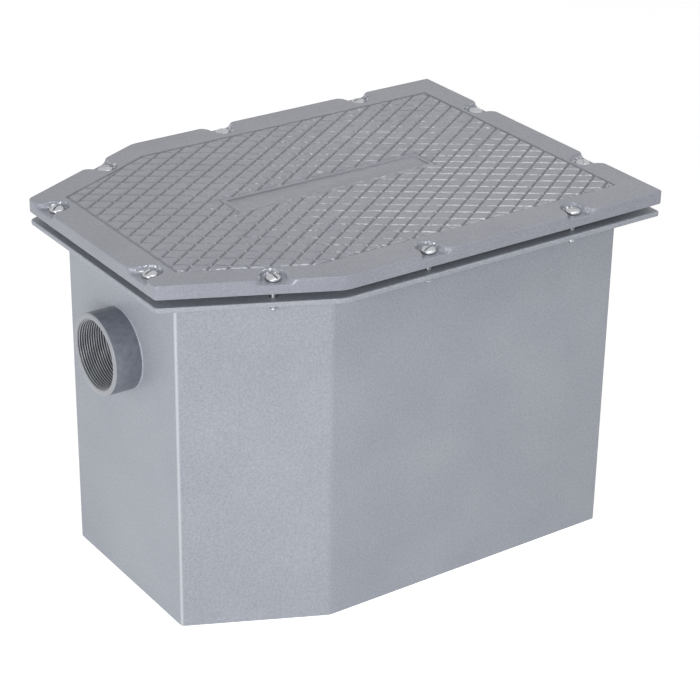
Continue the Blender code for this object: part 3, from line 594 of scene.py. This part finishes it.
def pocket_block(number, at, out):
    """The border round one screw, as rows of one section carried along a U.

    A column is a station on the U: up the cover's edge, in along a leg, round behind the screw
    and out again. On a leg the rows move apart by the mouth's radius less the root of its square
    minus the squared distance past the mouth's start. The last two rows are the block's outline,
    at the top and again at the bottom.
    """
    distance, drop, share = pocket_rows()
    flat_leg = np.linspace(0, screw_inset - rim_top, leg_stations, endpoint=False)
    leg = np.concatenate([flat_leg, screw_inset + top_round[:, 0], screw_inset + bottom_round[:, 0]])
    past = np.clip(leg - mouth_start, 0, None)
    flare = mouth_radius - np.sqrt(mouth_radius**2 - past**2)
    across = distance[:, None] + share[:, None] * flare
    across = np.vstack([across, np.full((2, len(leg)), block_half)])
    outward = np.broadcast_to(leg, across.shape).copy()
    outward[-1] = np.minimum(outward[-1], screw_inset - rim_bottom)
    below = np.concatenate([np.zeros(leg_stations), -top_round[:, 1]])
    upper = cover_top - np.append(drop, 0)[:, None] - below
    lower = np.broadcast_to(cover_bottom + bottom_round[:, 1], (len(upper), len(bottom_round)))
    level = np.vstack([np.hstack([upper, lower]), np.full(len(leg), cover_bottom)])

    corner = math.atan2(block_half, block_back)
    half_circle = np.linspace(-np.pi / 2, np.pi / 2, back_stations)[1:-1]
    angle = np.sort(np.append(half_circle, [-corner, corner]))
    sideways = np.maximum(np.abs(np.sin(angle)), 1e-12)
    reach = np.minimum(block_half / sideways, block_back / np.cos(angle))
    spread = np.vstack([distance[:, None] * np.ones(len(angle)), reach, reach])
    back_level = np.append(cover_top - np.append(drop, 0), cover_bottom)[:, None] * np.ones(len(angle))
    local_x = np.hstack([-across[:, ::-1], spread * np.sin(angle), across])
    local_y = np.hstack([outward[:, ::-1], -spread * np.cos(angle), outward])
    z = np.hstack([level[:, ::-1], back_level, level])
    along = np.array([-out[1], out[0]])
    flat = at + local_x[..., None] * along + local_y[..., None] * out
    points = np.concatenate([flat, z[..., None]], axis=-1)
    rows, columns = z.shape
    index = np.arange(rows * columns).reshape(rows, columns)
    underside = [*index[:, 0], *index[-1, 1:], *index[-2:0:-1, -1]]
    faces = [list(face) for face in grid_quads(rows, columns)] + [[int(i) for i in underside]]
    return mesh_from(f"pocket_{number}", points, faces)


blocks, windows = [], []
for number, (at, out) in enumerate(screws):
    shank_hole = rod(
        f"shank_hole_{number}",
        screw_radius + screw_play,
        cover_bottom - cut_through,
        cover_top - pocket_depth + cut_through,
        shank_sides,
        (*at, 0),
    )
    blocks.append(cut_by(pocket_block(number, at, out), shank_hole))
    along = np.array([-out[1], out[0]])
    corners = [(-1, -block_back), (1, -block_back), (1, 2 * screw_inset), (-1, 2 * screw_inset)]
    window = np.array([at + x * block_half * along + y * out for x, y in corners])
    low, high = cover_bottom - cut_through, cover_top + cut_through
    windows.append(tapered_bar(f"window_{number}", window, window, low, high))
border_mesh = cut_by(border_mesh, *windows)


# Tread: the field inside the border. Its grid follows the two families of grooves, with lines at
# fixed shares of a groove's half width, and every point's height comes from the groove functions.
pitch_x, pitch_y, tread_centre = 0.0360, 0.0246, 0.004
band_length, band_width, band_spare = 0.290, 0.046, 0.004
grooves_each_way, field_spare = 24, 0.03
spacing = pitch_y * math.cos(math.atan2(pitch_y, pitch_x))
shares = np.concatenate([-groove_lines[:0:-1], groove_lines]) * groove_half / spacing
cells = np.arange(-grooves_each_way, grooves_each_way + 1) + 0.5
lines = np.sort(np.concatenate([(cells[:, None] + shares).ravel(), cells[:-1] + 0.5]))
first, second = np.meshgrid(lines, lines, indexing="ij")
lattice = np.stack(
    [tread_centre + (first + second) / 2 * pitch_x, (first - second) / 2 * pitch_y, np.zeros_like(first)],
    axis=-1,
).reshape(-1, 3)
field = outline(field_out, (0, 0, 0), 0)
band_corners = square * (band_length / 2, band_width / 2) + (tread_centre, 0)


def groove_offsets(points):
    """How far each point is, across the grooves, from the middle of the nearest of each family.

    Along one family x over its pitch plus y over its pitch is a whole number and a half, and
    along the other so is their difference.
    """
    along_x, along_y = (points[:, 0] - tread_centre) / pitch_x, points[:, 1] / pitch_y
    families = np.stack([along_x + along_y, along_x - along_y])
    return (families - np.floor(families) - 0.5) * spacing


def depths_inside(points, corners):
    """How far each point is inside each side of a convex anticlockwise outline."""
    along = np.roll(corners, -1, axis=0) - corners
    along /= np.linalg.norm(along, axis=1, keepdims=True)
    inward = np.stack([-along[:, 1], along[:, 0]], axis=1)
    return np.einsum("pcj,cj->pc", points[:, None, :2] - corners, inward)


def in_band(face, spare):
    """Whether a face's middle lies on the band, made wider all round by spare."""
    centre = face.calc_center_median()
    return (
        abs(centre.x - tread_centre) < band_length / 2 + spare and abs(centre.y) < band_width / 2 + spare
    )


def slice_along(bm, corners, within, clear):
    """Cuts the sheet along each side of an outline, moved inwards by the distances in within.

    With clear it cuts the whole sheet and drops what lies outside the outline; without, it cuts
    only on the band and close round it.
    """
    for a, b in zip(corners, np.roll(corners, -1, axis=0)):
        along = (b - a) / np.linalg.norm(b - a)
        outward = np.array([along[1], -along[0]])
        for distance in within:
            sliced = [face for face in bm.faces if clear or in_band(face, band_spare)]
            parts = dict.fromkeys(part for face in sliced for part in (face, *face.edges, *face.verts))
            bmesh.ops.bisect_plane(
                bm,
                geom=list(parts),
                plane_co=(*(a - outward * distance), 0),
                plane_no=(*outward, 0),
                dist=collapsed_within,
                clear_outer=clear and distance == 0,
            )


near = depths_inside(lattice, field).min(axis=1) > -field_spare
quads = grid_quads(*first.shape)
quads = quads[near[quads].all(axis=1)]
used, renumbered = np.unique(quads, return_inverse=True)
tread = bpy.data.meshes.new("tread")
tread.from_pydata(lattice[used].tolist(), [], renumbered.reshape(-1, 4).tolist())
bm = bmesh.new()
bm.from_mesh(tread)
slice_along(bm, field, edge_lines, True)
slice_along(bm, band_corners, -edge_lines, False)
bmesh.ops.delete(bm, geom=[face for face in bm.faces if in_band(face, 0)], context="FACES")
rim = [edge for edge in bm.edges if edge.is_boundary]
skirt = bmesh.ops.extrude_edge_only(bm, edges=rim)["geom"]
for part in skirt:
    if isinstance(part, bmesh.types.BMVert):
        part.co.z = -web
foot = [edge for edge in bm.edges if edge.is_boundary]
bmesh.ops.triangle_fill(bm, edges=foot, use_beauty=True)
bmesh.ops.remove_doubles(bm, verts=bm.verts, dist=merged_within)
bmesh.ops.recalc_face_normals(bm, faces=bm.faces)
bm.to_mesh(tread)
bm.free()

points = points_of(tread)
to_band = np.abs(points[:, :2] - (tread_centre, 0)) - (band_length / 2, band_width / 2)
depth = np.max(
    [
        *groove_profile(groove_offsets(points), groove_half, groove_depth),
        groove_profile(depths_inside(points, field).min(axis=1), edge_groove_half, edge_groove_depth),
        groove_profile(to_band.max(axis=1), edge_groove_half, edge_groove_depth),
    ],
    axis=0,
)
points[:, 2] = cover_top - np.where(points[:, 2] > -web / 2, depth, web)
tread.vertices.foreach_set("co", points.ravel())
tread.update()

# Band: a slim rim round a sunk, bare panel, with a slope between them that rises as a sine squared.
band_rim, band_depth, band_slope = 0.0032, 0.0015, 0.0024
band_section = [(0, cover_top - web)]
band_section += [(-across, level) for across, level in zip(edge_lines, edge_levels)]
band_section += [
    (
        -edge_groove_half - band_rim - share * band_slope,
        cover_top - band_depth * math.sin(share * math.pi / 2) ** 2,
    )
    for share in (0, 0.25, 0.5, 0.75, 1)
]
loops = [np.column_stack([band_corners + square * out, np.full(4, level)]) for out, level in band_section]
faces = [list(face) for face in grid_quads(len(loops), 4, closed_columns=True)]
faces += [[3, 2, 1, 0], list(range(4 * len(loops) - 4, 4 * len(loops)))]
band_mesh = mesh_from("band", np.array(loops), faces)


# Underside: a frame that bears on the gasket and three ribs, with draft, down from the web. They
# run a little into the web and the border, as one casting.
frame_inner, frame_draft, run_in = -0.01375, 0.002, 0.0001
rib_low, rib_high, rib_stations = 0.0045, 0.0065, (-0.105, 0.075)
web_level = cover_top - web + run_in
frame_section = [
    (frame_inner, cover_bottom),
    (frame_inner - frame_draft, web_level),
    (field_out + run_in, web_level),
    (field_out + run_in, cover_bottom),
]
frame_mesh = carried("cover_frame", frame_section, (0, 0, 0), 0)
inner = outline(frame_inner + run_in, (0, 0, 0), 0)
half_inner = np.max(inner[:, 1])
middle = (inner[0, 0] + inner[3, 0]) / 2
half_length = (inner[3, 0] - inner[0, 0]) / 2
ribs = []
for number, (station, half_x, half_y) in enumerate(
    [(station, 0, half_inner) for station in rib_stations] + [(middle, half_length, 0)]
):
    low_rib, high_rib = (
        square * (half_x or half, half_y or half) + (station, 0) for half in (rib_low, rib_high)
    )
    ribs.append(tapered_bar(f"rib_{number}", low_rib, high_rib, cover_bottom, web_level))

bm = bmesh.new()
for mesh in (border_mesh, *blocks, tread, band_mesh, frame_mesh, *ribs):
    bm.from_mesh(mesh)
cover_mesh = bpy.data.meshes.new("cover_casting")
bm.to_mesh(cover_mesh)
bm.free()

# The paint reads three attributes. field is 1 on the tread. sunk is 1 in the roots where shade is
# painted: those of the grooves up to the right, apart from their crossings, and the boundary groove
# along the front side, the outlet end and the back cut. The third is 1 on the pockets' walls by the
# screws, where the skin is rougher and bright specks are painted in as glints.
shaded_sides, crossing, top_reach = [2, 3, 5], 0.6, 1.3
pocket_wall_reach, pocket_wall_fade, pocket_wall_rise, wall_skin = 0.022, 0.003, 0.0008, 0.0002
spots = points_of(cover_mesh)
off_first, off_second = np.abs(groove_offsets(spots)) / groove_half
to_sides = depths_inside(spots, field) / edge_groove_half
in_field = to_sides.min(axis=1) > -1
rows_shade = np.clip(1 - off_second, 0, 1) * np.clip((off_first - crossing) / (1 - crossing), 0, 1)
rows_shade = np.where(to_sides.min(axis=1) > 1, rows_shade, 0)
edge_shade = np.clip(1 - np.abs(to_sides[:, shaded_sides]).min(axis=1), 0, 1)
on_top = cover_top - spots[:, 2] < top_reach * groove_depth
to_screw = np.min([np.linalg.norm(spots[:, :2] - at, axis=1) for at, _ in screws], axis=0)
beside = np.clip((pocket_wall_reach - to_screw) / pocket_wall_fade, 0, 1)
above_floor = spots[:, 2] - cover_top + pocket_depth - wall_skin
on_wall = np.clip(above_floor / pocket_wall_rise, 0, 1) * (spots[:, 2] < cover_top - wall_skin)
record(cover_mesh, "field", in_field)
record(cover_mesh, "rough_skin_and_painted_glints", beside * on_wall)
record(cover_mesh, "sunk", np.where(in_field & on_top, np.maximum(rows_shade, edge_shade), 0))

# Enamel over sand-cast iron: an even coat with the casting's pitted skin under it, glossy on the
# tread and duller on the border. On the tread the skin swells over 7 mm, and with pits 2 mm wide
# that breaks the glints in the grooves into dots. Shade is painted dark into the groove roots, and
# on the pockets' walls bright metal specks of 3 mm are painted in as glints.
pit_scale, blotch_scale, swell_scale, speck_scale = 520, 14, 150, 300
border_gloss, tread_gloss = 0.27, 0.14
cast_paint, tree, shader = new_finish("painted_cast_iron", "#92959f", 0, tread_gloss)
shader.inputs["Specular IOR Level"].default_value = 0.85
place = add(tree, "TexCoord")
sand = add(
    tree,
    "TexNoise",
    {"Vector": place.outputs["Object"], "Scale": pit_scale, "Detail": 2, "Roughness": 0.5},
)
blotch = add(tree, "TexNoise", {"Vector": place.outputs["Object"], "Scale": blotch_scale, "Detail": 4})
tone = add(tree, "ValToRGB", {"Fac": sand.outputs["Fac"]})
dark, pale = tone.color_ramp.elements
dark.position, pale.position = 0.3, 0.7
dark.color, pale.color = linear("#8a8d98"), linear("#9a9da8")
drift = add(tree, "ValToRGB", {"Fac": blotch.outputs["Fac"]})
dark, pale = drift.color_ramp.elements
dark.position, pale.position = 0.3, 0.7
dark.color, pale.color = linear("#f1f1f3"), linear("#ffffff")
base = add(
    tree,
    "Mix",
    {"Factor": 1.0, 6: tone.outputs["Color"], 7: drift.outputs["Color"]},
    data_type="RGBA",
    blend_type="MULTIPLY",
)
hollow = add(tree, "Attribute", attribute_name="sunk", attribute_type="GEOMETRY")
# painted shade: a dark grey mixed into the groove roots that sunk marks
groove_shade_amount = add(tree, "MapRange", {"Value": hollow.outputs["Fac"], "From Max": 0.6, "To Max": 0.52})
with_groove_shade = add(
    tree,
    "Mix",
    {"Factor": groove_shade_amount.outputs["Result"], 6: base.outputs[2], 7: linear("#3f4249")},
    data_type="RGBA",
)
swell = add(tree, "TexNoise", {"Vector": place.outputs["Object"], "Scale": swell_scale, "Detail": 1})
on_field = add(tree, "Attribute", attribute_name="field", attribute_type="GEOMETRY")
waves = add(
    tree,
    "Bump",
    {"Height": swell.outputs["Fac"], "Strength": on_field.outputs["Fac"], "Distance": 0.0008},
)
gloss = add(
    tree, "MapRange", {"Value": on_field.outputs["Fac"], "To Min": border_gloss, "To Max": tread_gloss}
)
tree.links.new(gloss.outputs["Result"], shader.inputs["Roughness"])
pits = add(
    tree,
    "Bump",
    {
        "Height": sand.outputs["Fac"],
        "Strength": 0.5,
        "Distance": 0.0004,
        "Normal": waves.outputs["Normal"],
    },
)
rough_skin_and_painted_glints = add(tree, "Attribute", attribute_name="rough_skin_and_painted_glints", attribute_type="GEOMETRY")
speck = add(tree, "TexNoise", {"Vector": place.outputs["Object"], "Scale": speck_scale, "Detail": 1})
rough = add(
    tree,
    "Bump",
    {
        "Height": speck.outputs["Fac"],
        "Strength": rough_skin_and_painted_glints.outputs["Fac"],
        "Distance": 0.0010,
        "Normal": pits.outputs["Normal"],
    },
)
# painted glints: bright metal specks on the pockets' walls, set in the base colour and metallic
glint_speck = add(tree, "MapRange", {"Value": speck.outputs["Fac"], "From Min": 0.57, "From Max": 0.61})
painted_glint = add(tree, "Math", {0: glint_speck.outputs["Result"], 1: rough_skin_and_painted_glints.outputs["Fac"]}, operation="MULTIPLY")
with_painted_glints = add(
    tree,
    "Mix",
    {"Factor": painted_glint.outputs[0], 6: with_groove_shade.outputs[2], 7: linear("#c4c6ca")},
    data_type="RGBA",
)
tree.links.new(with_painted_glints.outputs[2], shader.inputs["Base Color"])
tree.links.new(painted_glint.outputs[0], shader.inputs["Metallic"])
tree.links.new(rough.outputs["Normal"], shader.inputs["Normal"])
cover = piece(cover_mesh, cast_paint, "painted_iron", "cover", sharp=50)
settle = cover.modifiers.new("flat_faces", "WEIGHTED_NORMAL")
settle.keep_sharp = True


# Cover screws: slotted round-head machine screws, zinc plated, driven through the pockets' floors
# into the flange. The slots stand at the angles at which they were left.
head_radius, head_height, head_rim, head_break = 0.00925, 0.0056, 0.0016, 0.0004
screw_length, screw_pitch, thread_height = 0.038, 0.0015875, 0.0009
neck_cut, shank_cut, point_cut, point_length = 0.0002, 0.0001, 0.0016, 0.002
plain_neck, plain_point, thread_fade = 0.006, 0.0025, 0.0012
crown_steps, shank_steps, screw_sides = 12, 110, 40
slot_width, slot_depth, slot_reach, slot_break = 0.0022, 0.0026, 0.02, 0.00022
slot_angles = (20, 90, 18, 146, 53, 35, 160, 56, 8, 128)


def screw_surface():
    """One screw about Z: its profile spun, with the shank's radius rippled along a helix.

    The dome is an ellipse from the crown to the rim. On the shank the radius is the middle of the
    thread plus half its height times the cosine of the turns, height over pitch less the angle.
    """
    rise = np.linspace(0, np.pi / 2, crown_steps)
    crown = [head_radius * np.sin(rise), head_rim + (head_height - head_rim) * np.cos(rise)]
    under = [(head_radius, head_break), (head_radius - head_break, 0), (screw_radius - neck_cut, 0)]
    head = np.vstack([np.transpose(crown), under])
    run = np.linspace(-neck_cut, point_length - screw_length, shank_steps)
    tip = np.array([(screw_radius - point_cut, -screw_length), (0, -screw_length)])
    angle = 2 * np.pi * np.arange(screw_sides) / screw_sides
    cut = np.clip(np.minimum(-run - plain_neck, run + screw_length - plain_point) / thread_fade, 0, 1)
    turns = run[:, None] / screw_pitch - angle / (2 * np.pi)
    wave = 1 - cut[:, None] + cut[:, None] * np.cos(2 * np.pi * turns)
    shank = screw_radius - thread_height / 2 - shank_cut + thread_height / 2 * wave
    around = np.ones(screw_sides)
    radius = np.vstack([head[:, :1] * around, shank, tip[:, :1] * around])
    height = np.concatenate([head[:, 1], run, tip[:, 1]])[:, None] * around
    points = np.stack([radius * np.cos(angle), radius * np.sin(angle), height], axis=-1)
    return mesh_from("screw", points, grid_quads(len(height), screw_sides, closed_columns=True))


slot_corners = square * (slot_reach, slot_width / 2)
slot_low, slot_high = head_height - slot_depth, head_height + cut_through
slot = tapered_bar("slot", slot_corners, slot_corners, slot_low, slot_high)
screw_template = cut_by(screw_surface(), slot, bevel=slot_break)

# Bright zinc plate: a thin bluish-white coat over turned steel, still glossy but clouded and
# scuffed by the driver in patches of 1.4 mm.
cloud_scale = 700
zinc, tree, shader = new_finish("bright_zinc_plate", "#b6b8bb", 1, 0.36)
place = add(tree, "TexCoord")
cloud = add(tree, "TexNoise", {"Vector": place.outputs["Object"], "Scale": cloud_scale, "Detail": 3})
gloss = add(tree, "MapRange", {"Value": cloud.outputs["Fac"], "To Min": 0.18, "To Max": 0.46})
tree.links.new(gloss.outputs["Result"], shader.inputs["Roughness"])
scuff = add(tree, "Bump", {"Height": cloud.outputs["Fac"], "Strength": 0.5, "Distance": 0.0003})
tree.links.new(scuff.outputs["Normal"], shader.inputs["Normal"])
screw_seat = cover_top - pocket_depth + seat
for number, ((at, _), angle) in enumerate(zip(screws, slot_angles), 1):
    mesh = screw_template.copy()
    mesh.name = f"threaded_screw_{number:02d}"
    mesh.transform(Matrix.Translation((*at, screw_seat)) @ Matrix.Rotation(math.radians(angle), 4, "Z"))
    piece(mesh, zinc, "plated_steel", f"cover_screw_{number:02d}", sharp=40)


# Pipe couplings: turned from thick steel tube, threaded 8 to the inch inside, set through the
# wall and welded round outside.
coupling_bore, coupling_mouth, mouth_land = 0.0434, 0.0447, 0.0002
coupling_out, coupling_length, coupling_edge = 0.0365, 0.052, 0.0018
pipe_pitch, pipe_thread, crest_flat, thread_start = 0.003175, 0.0021, 1.2, 0.002
bore_steps = 150


def about_pipe(radius, along, angle, hand):
    """Points at a radius and an angle about the pipe's line, along it from an end wall outwards."""
    out = np.broadcast_to(along, radius.shape)
    return np.stack(
        [
            hand * (tank_length / 2 + out),
            radius * np.cos(angle),
            pipe_level + radius * np.sin(angle),
        ],
        axis=-1,
    )


def coupling_surface(name, hand):
    """A tube about the pipe's line, its bore's radius rippled along a helix.

    The bore's radius is its middle plus half the thread's height times a pointed wave of the
    turns, height over pitch less the angle, opened by a 45 degree lead at the mouth.
    """
    outer, inner = coupling_out, coupling_out - coupling_length
    outside = np.array(
        [
            (coupling_mouth + mouth_land, outer),
            (pipe_radius - coupling_edge, outer),
            (pipe_radius - coupling_edge * 0.3, outer - coupling_edge * 0.3),
            (pipe_radius, outer - coupling_edge),
            (pipe_radius, inner + coupling_edge),
            (pipe_radius - coupling_edge, inner),
        ]
    )
    run = np.linspace(inner, outer, bore_steps)
    angle = 2 * np.pi * np.arange(pipe_sides) / pipe_sides
    turns = run[:, None] / pipe_pitch - angle / (2 * np.pi)
    wave = 1 - 4 * np.abs(turns - np.round(turns))
    fade = np.clip((run - inner) / thread_start, 0, 1)[:, None]
    bore = coupling_bore + fade * pipe_thread / 2 * np.clip(wave * crest_flat, -1, 1)
    bore = np.maximum(bore, (coupling_mouth - (outer - run))[:, None])
    radius = np.vstack([outside[:, :1] * np.ones(pipe_sides), bore])
    along = np.concatenate([outside[:, 1], run])[:, None]
    points = about_pipe(radius, along, angle, hand)
    return mesh_from(name, points, grid_quads(*radius.shape, closed_rows=True, closed_columns=True))


# Dark primer on turned steel: a thin coat smeared in patches of 6 mm. The cut end face and the
# thread are bare and paler, and shade is painted dark into the thread's roots.
smear_scale = 160
bare_depth, bare_radius = 0.0017, coupling_mouth + 0.0004
root_start, root_full = coupling_bore - 0.0007, coupling_bore + 0.0003
primer, tree, shader = new_finish("dark_primer", "#70757f", 0.0, 0.3)
place = add(tree, "TexCoord")
smear = add(tree, "TexNoise", {"Vector": place.outputs["Object"], "Scale": smear_scale, "Detail": 4})
tone = add(tree, "ValToRGB", {"Fac": smear.outputs["Fac"]})
dark, pale = tone.color_ramp.elements
dark.position, pale.position = 0.3, 0.7
dark.color, pale.color = linear("#6a6f7a"), linear("#7a7f89")
across = add(tree, "SeparateXYZ", {"Vector": place.outputs["Object"]})
length = add(tree, "Math", {0: across.outputs["X"]}, operation="ABSOLUTE")
bare_from = tank_length / 2 + coupling_out - bare_depth
cut_face = add(tree, "Math", {0: length.outputs[0], 1: bare_from}, operation="GREATER_THAN")
height = add(tree, "Math", {0: across.outputs["Z"], 1: pipe_level}, operation="SUBTRACT")
from_line = add(tree, "CombineXYZ", {"X": across.outputs["Y"], "Y": height.outputs[0]})
radius = add(tree, "VectorMath", {0: from_line.outputs["Vector"]}, operation="LENGTH")
thread = add(tree, "Math", {0: radius.outputs["Value"], 1: bare_radius}, operation="LESS_THAN")
turned_away = add(tree, "Math", {0: cut_face.outputs[0], 1: thread.outputs[0]}, operation="MAXIMUM")
bare = add(
    tree,
    "Mix",
    {"Factor": turned_away.outputs[0], 6: tone.outputs["Color"], 7: linear("#9fa2a8")},
    data_type="RGBA",
)
# painted shade: a dark colour mixed into the thread's roots, fading out towards the crests
root = add(
    tree, "MapRange", {"Value": radius.outputs["Value"], "From Min": root_start, "From Max": root_full}
)
beyond = add(tree, "Math", {0: 1.0, 1: cut_face.outputs[0]}, operation="SUBTRACT")
grooved = add(tree, "Math", {0: beyond.outputs[0], 1: thread.outputs[0]}, operation="MULTIPLY")
root_shade = add(tree, "Math", {0: root.outputs["Result"], 1: grooved.outputs[0]}, operation="MULTIPLY")
filled = add(
    tree,
    "Mix",
    {"Factor": root_shade.outputs[0], 6: bare.outputs[2], 7: linear("#45474e")},
    data_type="RGBA",
)
tree.links.new(filled.outputs[2], shader.inputs["Base Color"])
grit = add(tree, "Bump", {"Height": smear.outputs["Fac"], "Strength": 0.2, "Distance": 0.0003})
tree.links.new(grit.outputs["Normal"], shader.inputs["Normal"])
ends = (("inlet", -1), ("outlet", 1))
for end, hand in ends:
    tube = coupling_surface(f"{end}_socket_tube", hand)
    piece(tube, primer, "painted_steel", f"{end}_coupling", sharp=50)


# Welds: a fillet bead round the foot of each coupling, laid by hand, so it ripples every few
# millimetres. It is painted with the tank.
weld_size, weld_sink, weld_hollow = 0.0014, 0.001, 1.3
weld_sides, weld_rows = 300, 9
ripples, ripple_share, drifts, drift_share = 75, 0.10, 7, 0.06


def weld_ring(name, hand):
    """A bead round the coupling, from its barrel to the wall.

    Its section is a power of the cosine and sine of a quarter turn, times a size that ripples with
    the angle and drifts slowly; its back is sunk in the coupling and the wall.
    """
    angle = 2 * np.pi * np.arange(weld_sides) / weld_sides
    ripple = ripple_share * np.cos(angle * ripples) + drift_share * np.sin(angle * drifts + 1)
    size = weld_size * (1 + ripple)
    sweep = np.linspace(0, np.pi / 2, weld_rows)[:, None]
    sunk = np.full((1, weld_sides), -weld_sink)
    out, along = (
        np.concatenate([size * part(sweep) ** weld_hollow, sunk]) for part in (np.cos, np.sin)
    )
    points = about_pipe(pipe_radius + out, along, angle, hand)
    return mesh_from(name, points, grid_quads(*out.shape, closed_rows=True, closed_columns=True))


for end, hand in ends:
    piece(weld_ring(f"{end}_weld", hand), enamel, "painted_steel", sharp=60)


# Inside steelwork: hood, baffles and their guides, and the outlet trap, all from sheet steel with
# a dull grey corrosion-resistant coating, mottled over 17 mm.
mottle_scale = 60
coating, tree, shader = new_finish("grey_tank_coating", "#74777c", 0.0, 0.55)
place = add(tree, "TexCoord")
mottle = add(tree, "TexNoise", {"Vector": place.outputs["Object"], "Scale": mottle_scale, "Detail": 5})
tone = add(tree, "ValToRGB", {"Fac": mottle.outputs["Fac"]})
dark, pale = tone.color_ramp.elements
dark.position, pale.position = 0.3, 0.7
dark.color, pale.color = linear("#6c6f74"), linear("#7f8287")
tree.links.new(tone.outputs["Color"], shader.inputs["Base Color"])
orange_peel = add(tree, "Bump", {"Height": mottle.outputs["Fac"], "Strength": 0.2, "Distance": 0.0004})
tree.links.new(orange_peel.outputs["Normal"], shader.inputs["Normal"])
for node in (
    "inlet_hood",
    "slotted_baffle",
    "underflow_baffle",
    "slotted_guide_front",
    "slotted_guide_back",
    "underflow_guide_front",
    "underflow_guide_back",
    "trap_partition",
    "trap_roof",
    "cleanout_collar",
    "air_relief_pipe",
):
    dress(node, coating)


# Cleanout plug: a turned brass plug with a square key, screwed into its collar. The brass is
# tarnished duller in patches of 11 mm.
tarnish_scale = 90
brass, tree, shader = new_finish("turned_brass", "#c8a45c", 1, 0.3)
place = add(tree, "TexCoord")
tarnish = add(tree, "TexNoise", {"Vector": place.outputs["Object"], "Scale": tarnish_scale, "Detail": 4})
gloss = add(tree, "MapRange", {"Value": tarnish.outputs["Fac"], "To Min": 0.22, "To Max": 0.45})
tree.links.new(gloss.outputs["Result"], shader.inputs["Roughness"])
dress("cleanout_plug", brass)
